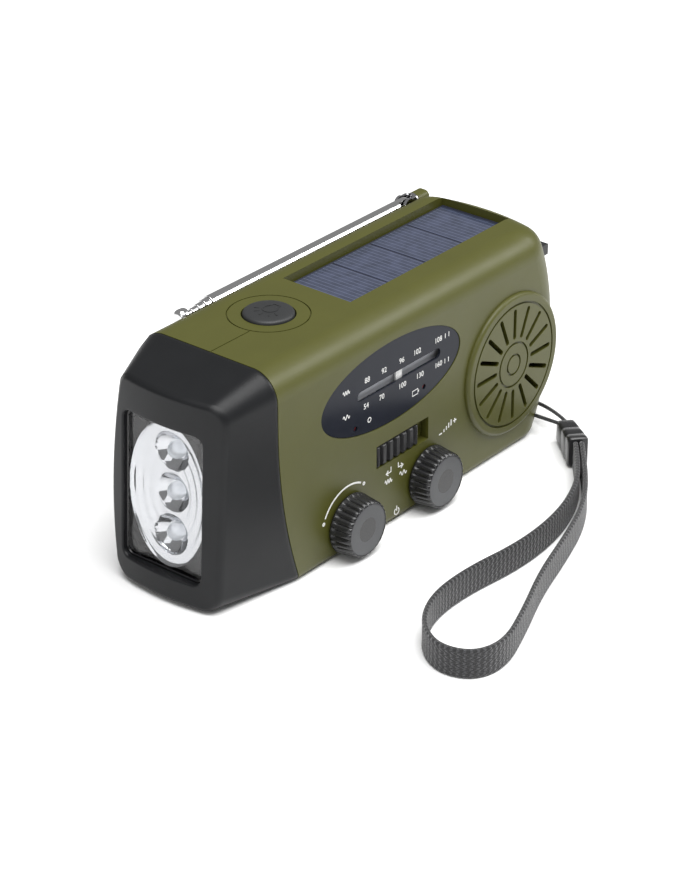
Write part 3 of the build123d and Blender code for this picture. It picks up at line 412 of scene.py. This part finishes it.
section = band_section()
verts, uvs, travelled = [], [], 0.0
for index, point in enumerate(band_path):
    before, after = band_path[max(index - 1, 0)], band_path[min(index + 1, len(band_path) - 1)]
    along = (after - before).normalized()
    side = Vector((-along.y, along.x, 0.0))
    if index:
        travelled += (point - band_path[index - 1]).length
    for through, up in section:
        place = point / MM + side * through + Vector((0, 0, up))
        verts.append(place)
        uvs.append((travelled, up * MM + (0.02 if through < 0 else 0.0)))
band_faces = rings_to_faces(len(band_path), len(section), cap_start=True, cap_end=True)
band = build("wrist_webbing", verts, band_faces, webbing, slot="strap_web", replaces=["strap_webbing"],
             uvs=uvs)

# lock: tapered moulded clip that joins the string to the webbing
lock_start, lock_end = Vector((*LOCK_FAR, 0)), Vector((*LOCK_NEAR, 0))
lock_line = lock_end - lock_start
lock_side = Vector((-lock_line.y, lock_line.x, 0)).normalized()
verts = []
# each ring: share of the lock's length, and how full it is there; the two dips are grip grooves
LOCK_RINGS = [(0.0, 0.9), (0.02, 0.97), (0.05, 1.0), (0.35, 1.0), (0.37, 0.95), (0.42, 0.95), (0.44, 1.0),
              (0.7, 1.0), (0.72, 0.95), (0.77, 0.95), (0.79, 1.0), (0.95, 1.0), (0.98, 0.97), (1.0, 0.9)]
LOCK_WIDTHS, LOCK_HEIGHTS, LOCK_FOOT_Z, LOCK_EDGE = (5.0, 5.6), (6.4, 9.0), 0.2, 1.0
for share, swell in LOCK_RINGS:
    full_width = LOCK_WIDTHS[0] + (LOCK_WIDTHS[1] - LOCK_WIDTHS[0]) * share
    full_height = LOCK_HEIGHTS[0] + (LOCK_HEIGHTS[1] - LOCK_HEIGHTS[0]) * share
    flat_y, flat_z = full_width / 2 * swell - LOCK_EDGE, full_height / 2 * swell - LOCK_EDGE
    middle = lock_start + lock_line * share + Vector((0, 0, LOCK_FOOT_Z + full_height / 2))
    for corner_y, corner_z, start in ((1, 1, 0), (-1, 1, 90), (-1, -1, 180), (1, -1, 270)):
        for along_side, up in arc((corner_y * flat_y, corner_z * flat_z), LOCK_EDGE, start, start + 90, 4):
            verts.append(middle + lock_side * along_side + Vector((0, 0, up)))
build("strap_clip", verts, rings_to_faces(len(LOCK_RINGS), 20, cap_start=True, cap_end=True), lock_black,
      slot="strap_clip", replaces=["strap_lock"], sharp=40)


# ------------------------------------------------------------------ lamp head
def seam_x(z):
    """The joint between bezel and case: straight above, curving towards the speaker end below."""
    if z >= SEAM_TURN_Z:
        return SEAM_X
    reach = SEAM_FOOT_X - SEAM_X
    radius = (SEAM_TURN_Z**2 + reach**2) / (2 * reach)
    return SEAM_X + radius - math.sqrt(radius**2 - (SEAM_TURN_Z - z) ** 2)


def between(start, end, steps):
    """Points on a straight line, without its two ends."""
    return [(start[0] + (end[0] - start[0]) * i / steps, start[1] + (end[1] - start[1]) * i / steps)
            for i in range(1, steps)]


CORNER_STEPS, SIDE_STEPS = 20, 24


def case_outline():
    """Cross-section of the case: front side, top front, top, top back, back, bottom back, bottom."""
    inner = BULGE - TOP_EDGE
    top_back_y = BACK_Y - BULGE + math.sqrt(inner**2 - (TOP_Z - TOP_EDGE - MID_Z) ** 2)
    top_tilt = math.degrees(math.asin((TOP_Z - TOP_EDGE - MID_Z) / inner))
    low = BULGE - BOTTOM_EDGE
    low_back_y = BACK_Y - BULGE + math.sqrt(low**2 - (MID_Z - BOTTOM_EDGE) ** 2)
    low_tilt = -math.degrees(math.asin((MID_Z - BOTTOM_EDGE) / low))
    top_front = arc((FRONT_Y + TOP_EDGE, TOP_Z - TOP_EDGE), TOP_EDGE, 180, 90, CORNER_STEPS)
    top_back = arc((top_back_y, TOP_Z - TOP_EDGE), TOP_EDGE, 90, top_tilt, CORNER_STEPS)
    back = arc((BACK_Y - BULGE, MID_Z), BULGE, top_tilt, low_tilt, SIDE_STEPS)[1:-1]
    low_back = arc((low_back_y, BOTTOM_EDGE), BOTTOM_EDGE, low_tilt, -90, CORNER_STEPS)
    low_front = arc((FRONT_Y + BOTTOM_EDGE, BOTTOM_EDGE), BOTTOM_EDGE, 270, 180, CORNER_STEPS)
    return (top_front + between(top_front[-1], top_back[0], SIDE_STEPS) + top_back + back + low_back
            + between(low_back[-1], low_front[0], SIDE_STEPS) + low_front
            + between(low_front[-1], top_front[0], SIDE_STEPS))


def quad_outline(corners, radii, bulge=0.0):
    """The same run of points round a four-cornered outline; corners go top front, top back, ..."""
    rounded = []
    for index, corner in enumerate(corners):
        here = Vector(corner)
        to_last = (Vector(corners[index - 1]) - here).normalized()
        to_next = (Vector(corners[(index + 1) % 4]) - here).normalized()
        half = to_last.angle(to_next) / 2
        radius = radii[index]
        center = here + (to_last + to_next).normalized() * (radius / math.sin(half))
        first, last = here + to_last * (radius / math.tan(half)), here + to_next * (radius / math.tan(half))
        from_first, from_last = first - center, last - center
        turn = from_first.angle_signed(from_last)
        start = math.degrees(math.atan2(from_first.y, from_first.x))
        rounded.append(arc(center, radius, start, start - math.degrees(turn), CORNER_STEPS))
    points = []
    for index in range(4):
        points += rounded[index]
        points += between(rounded[index][-1], rounded[(index + 1) % 4][0], SIDE_STEPS)
    if bulge:
        low = min(z for _, z in points)
        high = max(z for _, z in points)
        middle = sum(y for y, _ in points) / len(points)
        wide = max(y for y, _ in points) - middle
        bent = []
        for y, z in points:
            share = max(0.0, (y - middle) / wide) ** 2
            rise = 4 * (z - low) * (high - z) / (high - low) ** 2
            bent.append((y + bulge * share * rise, z))
        points = bent
    return points


def inset_outline(points, amount):
    """Move an outline inwards along its own normals."""
    moved = []
    count = len(points)
    for index, point in enumerate(points):
        before, after = Vector(points[index - 1]), Vector(points[(index + 1) % count])
        tangent = (after - before).normalized()
        moved.append((point[0] + tangent.y * amount, point[1] - tangent.x * amount))
    return moved


seam_ring = case_outline()
NOSE_CORNERS = [(-19.9, 56.2), (13.1, 56.4), (14.2, 1.1), (-18.2, 0.9)]
NOSE_RADII, NOSE_BULGE = [5.0, 3.0, 4.5, 4.5], 3.3
nose_ring = quad_outline(NOSE_CORNERS, NOSE_RADII, NOSE_BULGE)
half_w, half_h = WINDOW_W / 2, WINDOW_H / 2
window_ring = quad_outline([(LAMP_Y - half_w, LAMP_H + half_h), (LAMP_Y + half_w, LAMP_H + half_h),
                            (LAMP_Y + half_w, LAMP_H - half_h), (LAMP_Y - half_w, LAMP_H - half_h)],
                           [2.5, 2.5, 2.5, 2.5])
rake = math.atan2(NOSE_TOP_X - NOSE_FOOT_X, NOSE_TOP_Z)


def on_face(y, height, depth):
    """Point this far up the raked lamp face and this far behind its plane."""
    return (NOSE_FOOT_X + height * math.sin(rake) + depth * math.cos(rake), y,
            height * math.cos(rake) - depth * math.sin(rake))


def crown(y):
    """How far the crowned face lies behind its plane."""
    return FACE_RADIUS - CROWN - math.sqrt(FACE_RADIUS**2 - (y - CROWN_Y) ** 2)


def rod_clear(point):
    """Push a bezel point out of the groove in line with the antenna."""
    x, y, z = point
    away = Vector((y - ROD_Y, z - ROD_Z))
    if away.length < ROD_GROOVE:
        away = away.normalized() * ROD_GROOVE
        return (x, ROD_Y + away.x, ROD_Z + away.y)
    return point


def bezel_rings():
    """Rings of points from the seam, over the face, to the inside edge of the window."""
    rings = []
    lip = inset_outline(seam_ring, 0.35)
    rings.append([(seam_x(z) - 0.02, y, z) for y, z in inset_outline(seam_ring, 1.6)])
    rings.append([(seam_x(z) - 0.02, y, z) for y, z in lip])
    rings.append([(seam_x(z) - 0.12, y, z) for y, z in inset_outline(seam_ring, 0.1)])
    edge = 1.0
    side_steps = 22
    for step in range(side_steps + 1):
        ring = []
        for (y0, z0), (y1, z1) in zip(seam_ring, nose_ring):
            start = Vector((seam_x(z0) - 0.35, y0, z0))
            end = Vector(on_face(y1, z1, crown(y1)))
            share = step / side_steps
            reach = 1.0 - edge / (end - start).length
            ring.append(tuple(start.lerp(end, share * reach)))
        rings.append(ring)
    for turn in (25, 50, 75, 90):
        angle = math.radians(turn)
        flat = inset_outline(nose_ring, edge * (1 - math.cos(angle)))
        rings.append([on_face(y, z, crown(y) + edge * (1 - math.sin(angle))) for y, z in flat])
    flat = inset_outline(nose_ring, edge)
    for share in (0.04, 0.35, 0.7, 0.93):
        ring = []
        for (y0, z0), (y1, z1) in zip(flat, inset_outline(window_ring, -0.5)):
            y, z = y0 + (y1 - y0) * share, z0 + (z1 - z0) * share
            ring.append(on_face(y, z, crown(y)))
        rings.append(ring)
    for grow, depth in ((-0.5, 0.0), (-0.3, 0.05), (-0.08, 0.25), (0.0, 0.5)):
        rings.append([on_face(y, z, crown(y) + depth) for y, z in inset_outline(window_ring, grow)])
    rings.append([on_face(y, z, FACE_WALL) for y, z in window_ring])
    return [[rod_clear(point) for point in ring] for ring in rings]


rings = bezel_rings()
size = len(rings[0])
build("lamp_head", [point for ring in rings for point in ring], rings_to_faces(len(rings), size),
      bezel_black, slot="black_bezel", replaces=["lamp_bezel"], sharp=50)

# glossy stepped rim round the lens
rim = []
for grow, depth in ((0.02, 0.15), (0.55, 0.15), (0.65, 0.25), (0.7, 0.39)):
    rim.append([on_face(y, z, depth) for y, z in inset_outline(window_ring, grow)])
build("lens_rim", [point for ring in rim for point in ring], rings_to_faces(len(rim), size), rim_black,
      slot="black_bezel", sharp=35)

# black mask with the oval opening of the dish
mask = []
for share, depth in ((0.0, MASK_DEPTH), (0.97, MASK_DEPTH), (1.0, MASK_DEPTH + 0.08)):
    ring = []
    for y, z in inset_outline(window_ring, 0.05):
        angle = math.atan2((z - LAMP_H) / BOWL_H, (y - LAMP_Y) / BOWL_W)
        rim_y, rim_z = LAMP_Y + BOWL_W * math.cos(angle), LAMP_H + BOWL_H * math.sin(angle)
        ring.append(on_face(y + (rim_y - y) * share, z + (rim_z - z) * share, depth))
    mask.append(ring)
build("reflector_mask", [point for ring in mask for point in ring], rings_to_faces(len(mask), size),
      rim_black, slot="black_bezel", sharp=35)


def bowl_depth(y, z):
    """Depth of the metallised bowl behind its rim: a dish with ring ripples and a cup for each LED."""
    out = math.hypot((y - LAMP_Y) / BOWL_W, (z - LAMP_H) / BOWL_H)
    depth = 2.0 * math.sqrt(max(0.0, 1.0 - out * out)) + 0.09 * math.sin(min(out, 1.0) * 34)
    for step in (-1, 0, 1):
        reach = math.hypot(y - LAMP_Y, z - LAMP_H - step * LED_PITCH)
        if reach < CUP_RADIUS:
            depth = max(depth, 1.7 + 3.1 * (1 - (max(reach, CUP_FLOOR_RADIUS) / CUP_RADIUS) ** 2))
    return depth


GRID = 0.22
columns, rows = int(WINDOW_W / GRID) + 1, int(WINDOW_H / GRID) + 1
verts = []
for row in range(rows):
    for column in range(columns):
        y = LAMP_Y + (column - (columns - 1) / 2) * GRID
        z = LAMP_H + (row - (rows - 1) / 2) * GRID
        verts.append(on_face(y, z, BOWL_DEPTH + bowl_depth(y, z)))
build("reflector_bowl", verts, rings_to_faces(rows, columns, closed=False), mirror_coat,
      slot="reflector_chrome", replaces=["reflector"], sharp=40)

led_chip = Mat("led_phosphor", (0.85, 0.75, 0.25), 0.5, Emission_Color=(1.0, 0.96, 0.8, 1.0),
               Emission_Strength=0.9)
led_chip.bump(led_chip.noise(2000, 2.0), 0.01)
for step in (-1, 0, 1):
    led_place = on_face(LAMP_Y, LAMP_H + step * LED_PITCH, LED_DEPTH)
    dome = [(0.02, -2.39), (0.7, -2.29), (1.35, -1.98), (1.85, -1.53), (2.2, -0.95), (2.38, -0.3),
            (2.4, 0.4), (2.4, 2.6), (2.4, 3.5)]
    lathe(f"led_{step + 2}", led_place, "x", dome, 40, led_clear,
          slot="led_clear", replaces=["lamp_leds"] if step == -1 else None)
    lathe(f"led_core_{step + 2}", led_place, "x",
          [(0.02, 0.9), (0.5, 0.92), (0.95, 1.3), (1.0, 1.9)], 24, led_chip, slot="led_clear")


# ------------------------------------------------------------------ knobs
def lobed(radius, along, angle):
    """Scalloped skirt that fades out at the back and at the face."""
    lobes, depth = 28, 0.42
    fade = min(1.0, max(0.0, (along - 0.5) / 0.5)) * min(1.0, max(0.0, (radius - 7.0) / 0.25))
    wave = abs(math.sin(angle * lobes / 2))
    return radius - depth * fade * (1 - wave**0.8)


for name, knob_x, body in (("tuning", TUNE_X, "tuning"), ("volume", VOLUME_X, "volume")):
    profile = [(7.9, 0.0), (8.1, 0.1), (8.18, 0.3), (8.18, 0.6), (8.12, 1.0), (8.0, 2.0), (7.88, 3.0),
               (7.76, 4.0), (7.66, 4.9), (7.56, 5.4), (7.42, 5.75), (7.2, 5.98), (7.02, 6.04),
               (6.95, 6.0), (6.9, 5.86)]
    lathe(f"{name}_knob_skirt", (knob_x, KNOB_BACK_Y, KNOB_Z), "-y", profile, 280, knob_gloss, lobed,
          body=body, slot="knob_black", replaces=[f"{name}_knob"], sharp=50)
    face = [(6.92, 5.7), (6.9, 5.86), (6.8, 5.92), (6.5, 5.93), (4.5, 5.88), (2.0, 5.84), (0.02, 5.83)]
    lathe(f"{name}_knob_face", (knob_x, KNOB_BACK_Y, KNOB_Z), "-y", face, 96, knob_face,
          body=body, slot="knob_black")

# ------------------------------------------------------------------ torch button
button_profile = [(6.2, -0.6), (6.6, -0.5), (6.6, 2.6), (6.55, 3.0), (6.4, 3.3), (6.1, 3.5), (5.6, 3.6),
                  (4.5, 3.72), (3.0, 3.82), (1.5, 3.87), (0.02, 3.88)]
lathe("torch_cap", (TORCH_X, TORCH_Y, TORCH_BASE_Z), "z", button_profile, 96, button_rubber, body="torch",
      slot="button_rubber", replaces=["torch_button"], sharp=50)


def strip(name, points, width, thick, normal, material, closed=False, **options):
    """Raised line of a given width that follows points on a face."""
    normal = Vector(normal)
    count = len(points)
    verts = []
    for index, point in enumerate(points):
        if closed:
            before, after = Vector(points[index - 1]), Vector(points[(index + 1) % count])
        else:
            before, after = Vector(points[max(index - 1, 0)]), Vector(points[min(index + 1, count - 1)])
        side = (after - before).normalized().cross(normal) * width / 2
        here = Vector(point)
        verts += [here - side - normal * thick, here - side * 0.9 + normal * thick,
                  here + side * 0.9 + normal * thick, here + side - normal * thick]
    faces = rings_to_faces(count, 4)
    if closed:
        last = (count - 1) * 4
        faces += [(last + i, last + (i + 1) % 4, (i + 1) % 4, i) for i in range(4)]
    else:
        faces += [(3, 2, 1, 0), tuple(range((count - 1) * 4, count * 4))]
    return build(name, verts, faces, material, smooth=False, **options)


def on_top(points, z):
    return [(TORCH_X + x, TORCH_Y + y, z) for x, y in points]


# raised lamp symbol on the button: a bulb, its base and rays, turned towards the lamp end
bulb = [(x, y) for x, y in arc((0.6, 0.0), 1.9, 40, 320, 26)]
strip("button_bulb", on_top(bulb, 61.08), 0.35, 0.1, (0, 0, 1), button_rubber, body="torch",
      slot="button_rubber")
strip("button_neck", on_top([(2.1, 1.2), (3.4, 0.9), (3.4, -0.9), (2.1, -1.2)], 61.02), 0.35, 0.1,
      (0, 0, 1), button_rubber, body="torch", slot="button_rubber")
for index, angle in enumerate((115, 145, 180, 215, 245)):
    cos, sin = math.cos(math.radians(angle)), math.sin(math.radians(angle))
    ray = [(0.6 + 2.7 * cos, 2.7 * sin), (0.6 + 4.1 * cos, 4.1 * sin)]
    strip(f"button_ray_{index + 1}", on_top(ray, 61.0), 0.35, 0.1, (0, 0, 1), button_rubber, body="torch",
          slot="button_rubber")


# ------------------------------------------------------------------ solar cells
def slab(name, low, high, edge, material, **options):
    """Box with a bevelled top, used for the solar plate, its cells and its contact band."""
    (x0, y0, z0), (x1, y1, z1) = low, high
    verts = [(x0, y0, z0), (x1, y0, z0), (x1, y1, z0), (x0, y1, z0),
             (x0, y0, z1 - edge), (x1, y0, z1 - edge), (x1, y1, z1 - edge), (x0, y1, z1 - edge),
             (x0 + edge, y0 + edge, z1), (x1 - edge, y0 + edge, z1),
             (x1 - edge, y1 - edge, z1), (x0 + edge, y1 - edge, z1)]
    faces = rings_to_faces(3, 4, cap_start=True, cap_end=True)
    return build(name, verts, faces, material, smooth=False, **options)


slab("solar_resin_plate", (-9.1, -9.7, 56.7), (56.9, 11.8, 57.8), 0.15, solar_gap, slot="solar_blue",
     replaces=["solar_panel"])
CELLS = [(-6.4, 8.6), (9.2, 24.2), (24.8, 39.8), (40.4, 55.6)]
for index, (x0, x1) in enumerate(CELLS):
    slab(f"solar_cell_{index + 1}", (x0, -8.9, 57.7), (x1, 11.0, 57.92), 0.06, solar, slot="solar_blue")
slab("solar_contact_band", (-8.8, -9.2, 57.7), (-6.9, 11.3, 57.9), 0.06, solar_edge, slot="solar_blue")

# ------------------------------------------------------------------ band slider
SLIDE_X0, SLIDE_X1, SLIDE_Z0, SLIDE_Z1 = -14.0, 2.4, 19.05, 24.75


def ribbed_slider():
    """Slider seen from the front: ribs across its length, as one height field."""
    count_x, count_z = 132, 26
    verts = []
    for row in range(count_z + 1):
        z = SLIDE_Z0 + (SLIDE_Z1 - SLIDE_Z0) * row / count_z
        for column in range(count_x + 1):
            x = SLIDE_X0 + (SLIDE_X1 - SLIDE_X0) * column / count_x
            wave = 0.5 + 0.5 * math.cos((x - SLIDE_X0) / 2.73 * 2 * math.pi)
            height = 1.15 * min(1.0, wave * 1.7)
            edge = min(x - SLIDE_X0, SLIDE_X1 - x, (z - SLIDE_Z0), (SLIDE_Z1 - z))
            height -= 0.5 * max(0.0, 1 - edge / 0.5) ** 2
            verts.append((x, -21.7 - height, z))
    faces = rings_to_faces(count_z + 1, count_x + 1, closed=False)
    border = [column for column in range(count_x + 1)]
    border += [row * (count_x + 1) + count_x for row in range(1, count_z + 1)]
    border += [count_z * (count_x + 1) + column for column in range(count_x - 1, -1, -1)]
    border += [row * (count_x + 1) for row in range(count_z - 1, 0, -1)]
    start = len(verts)
    verts += [(verts[index][0], -20.3, verts[index][2]) for index in border]
    for index in range(len(border)):
        nxt = (index + 1) % len(border)
        faces.append((border[index], border[nxt], start + nxt, start + index))
    faces.append(tuple(range(start, start + len(border))))
    build("band_slider_cap", verts, faces, slider_black, body="slider", slot="slider_black",
          replaces=["band_slider"], sharp=35)


ribbed_slider()

# ------------------------------------------------------------------ printed marks
PRINT_Y = FRONT_Y - 0.02


def on_front(points, y=PRINT_Y):
    return [(x, y, z) for x, z in points]


def mark(name, points, width, y=PRINT_Y, closed=False):
    return strip(name, on_front(points, y), width, 0.02, (0, -1, 0), white_print, closed=closed,
                 slot="pointer_white")


def number(name, text, x, z, height, y, tilt=0.0):
    """Printed number, centred on a point of the front."""
    curve = bpy.data.curves.new(name, "FONT")
    curve.body = text
    curve.size = height * MM * 1.35
    curve.align_x = "CENTER"
    curve.align_y = "CENTER"
    curve.extrude = 0.02 * MM
    curve.resolution_u = 3
    temp = bpy.data.objects.new(name, curve)
    scene.collection.objects.link(temp)
    bpy.context.view_layer.update()
    mesh = bpy.data.meshes.new_from_object(temp.evaluated_get(bpy.context.evaluated_depsgraph_get()))
    bpy.data.objects.remove(temp)
    mesh.transform(Matrix.Translation(Vector((x, y, z)) * MM) @ Matrix.Rotation(math.radians(tilt), 4, "Y")
                   @ Matrix.Rotation(math.radians(90), 4, "X"))
    mesh.name = name
    mesh.materials.clear()
    mesh.materials.append(white_print.m)
    piece = bpy.data.objects.new(name, mesh)
    scene.collection.objects.link(piece)
    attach(piece, "case")


DIAL_Y = -22.32
UPPER = [("88", -17.9), ("92", -11.2), ("96", -4.1), ("102", 2.2), ("108", 10.9)]
LOWER = [("54", -18.3), ("70", -12.1), ("100", -3.8), ("130", 3.4), ("160", 11.1)]
for index, (text, x) in enumerate(UPPER):
    number(f"scale_upper_{index + 1}", text, x, 45.5, 1.55, DIAL_Y)
for index, (text, x) in enumerate(LOWER):
    number(f"scale_lower_{index + 1}", text, x, 38.4, 1.55, DIAL_Y)
# two small wave signs stand where the bands are named, and a lamp and a cell under the scale
for index, (mark_x, mark_z) in enumerate(((-26.1, 45.2), (-26.1, 38.4))):
    waves = 3 if index == 0 else 2
    wave = [(mark_x - 1.3 + 2.6 * i / 30, mark_z + 0.55 * math.sin(2 * math.pi * waves * i / 30))
            for i in range(31)]
    mark(f"band_sign_{index + 1}", wave, 0.24, DIAL_Y)
mark("tuned_sign", arc((-17.0, 34.0), 0.62, 0, 345, 20), 0.22, DIAL_Y, closed=True)
mark("cell_sign", [(0.4, 33.5), (2.6, 33.5), (2.6, 34.9), (0.4, 34.9)], 0.22, DIAL_Y, closed=True)
mark("cell_sign_cap", [(2.9, 33.9), (2.9, 34.5)], 0.3, DIAL_Y)
for index, x in enumerate((13.8, 15.3)):
    mark(f"scale_unit_{index + 1}", [(x, 44.9), (x, 46.2)], 0.25, DIAL_Y)
    mark(f"scale_unit_low_{index + 1}", [(x, 37.7), (x, 39.0)], 0.25, DIAL_Y)

# tuning arc with plus and minus ends, arrows above the volume knob, off and volume signs
tune_arc = arc((TUNE_X, KNOB_Z), 10.4, 152, 62, 24)
mark("tuning_arc", tune_arc, 0.5)
for index in (0, -1):
    x, z = arc((TUNE_X, KNOB_Z), 10.4, 160 if index == 0 else 54, 160, 1)[0]
    mark(f"tuning_end_{abs(index) + 1}", arc((x, z), 0.35, 0, 330, 10), 0.4, closed=True)
mark("band_arrow_left", [(-8.4, 17.0), (-8.4, 15.6), (-10.0, 15.6)], 0.35)
mark("band_arrow_left_head", [(-9.5, 16.3), (-10.4, 15.6), (-9.5, 14.9)], 0.35)
mark("band_arrow_right", [(-5.4, 17.0), (-5.4, 15.6), (-3.8, 15.6)], 0.35)
mark("band_arrow_right_head", [(-4.3, 16.3), (-3.4, 15.6), (-4.3, 14.9)], 0.35)
for index, (sign_x, waves) in enumerate(((-9.4, 3), (-3.4, 2))):
    wave = [(sign_x - 1.4 + 2.8 * i / 30, 13.2 + 0.6 * math.sin(2 * math.pi * waves * i / 30))
            for i in range(31)]
    mark(f"band_mark_{index + 1}", wave, 0.3)
mark("off_sign", arc((-5.9, 2.9), 0.95, 60, -240, 20), 0.32)
mark("off_sign_bar", [(-5.9, 4.5), (-5.9, 3.0)], 0.32)
mark("volume_minus", [(11.6, 17.8), (12.8, 17.8)], 0.35)
mark("volume_plus", [(17.6, 19.4), (18.9, 19.4)], 0.35)
mark("volume_plus_bar", [(18.25, 18.75), (18.25, 20.05)], 0.35)
for index in range(4):
    x = 13.7 + index * 1.0
    mark(f"volume_step_{index + 1}", [(x, 17.8 + index * 0.25), (x, 18.6 + index * 0.55)], 0.4)

# ------------------------------------------------------------------ antenna tip and crank grip
tip_profile = [(0.3, -39.7), (1.1, -39.68), (1.7, -39.5), (2.05, -39.1), (2.2, -38.6), (2.2, -37.2),
               (2.1, -36.9), (1.6, -36.75), (0.7, -36.7), (0.7, 20.0), (0.7, 30.9)]
lathe("antenna_cap", (0, ROD_Y, ROD_Z), "x", tip_profile, 48, chrome, body="rod_tip",
      slot="antenna_chrome", replaces=["antenna_tip"], sharp=40)


def grip_shape(radius, along, angle):
    """Shallow finger flutes round the middle of the grip."""
    fade = min(1.0, max(0.0, (along - 1.0) / 1.5), max(0.0, (19.5 - along) / 1.5))
    return radius - 0.22 * fade * (0.5 - 0.5 * math.cos(angle * 10)) if radius > 3 else radius


grip_profile = [(1.7, 21.98), (2.6, 22.0), (3.2, 21.85), (3.55, 21.3), (3.6, 20.5), (3.6, 18.0), (3.52, 14.0),
                (3.5, 10.0), (3.52, 6.0), (3.6, 2.0), (3.6, 0.0), (3.5, -0.9), (3.1, -1.4), (2.4, -1.58),
                (0.02, -1.6)]
lathe("crank_grip", (0, GRIP_Y, CRANK_Z), "x", grip_profile, 80, crank_black, grip_shape, body="grip",
      slot="crank_black", replaces=["handle_grip"], sharp=60)

# ------------------------------------------------------------------ stage and light
floor_mesh = bpy.data.meshes.new("floor")
floor_mesh.from_pydata([(-3, -3, 0), (3, -3, 0), (3, 3, 0), (-3, 3, 0)], [], [(0, 1, 2, 3)])
floor_mat = Mat("floor_white", (0.93, 0.93, 0.93), 0.9, Specular_IOR_Level=0.1)
floor_mesh.materials.append(floor_mat.m)
floor = bpy.data.objects.new("floor", floor_mesh)
scene.collection.objects.link(floor)

world = bpy.data.worlds.new("studio")
world.use_nodes = True
scene.world = world
background = world.node_tree.nodes["Background"]
background.inputs["Color"].default_value = (1.0, 1.0, 1.0, 1.0)
background.inputs["Strength"].default_value = 0.28


def area(name, place, aim, size, power):
    data = bpy.data.lights.new(name, "AREA")
    data.shape = "RECTANGLE"
    data.size, data.size_y = size
    data.energy = power
    lamp = bpy.data.objects.new(name, data)
    scene.collection.objects.link(lamp)
    lamp.location = place
    lamp.rotation_euler = (Vector(aim) - Vector(place)).to_track_quat("-Z", "Y").to_euler()


area("top_box", (-0.1, -0.3, 1.2), (0, 0, 0), (1.2, 1.0), 24.0)
area("left_box", (-1.0, -0.2, 0.5), (0, 0, 0.03), (0.5, 0.8), 1.6)
area("right_box", (0.82, -0.57, 0.667), (0, 0, 0.04), (0.45, 0.45), 5.0)
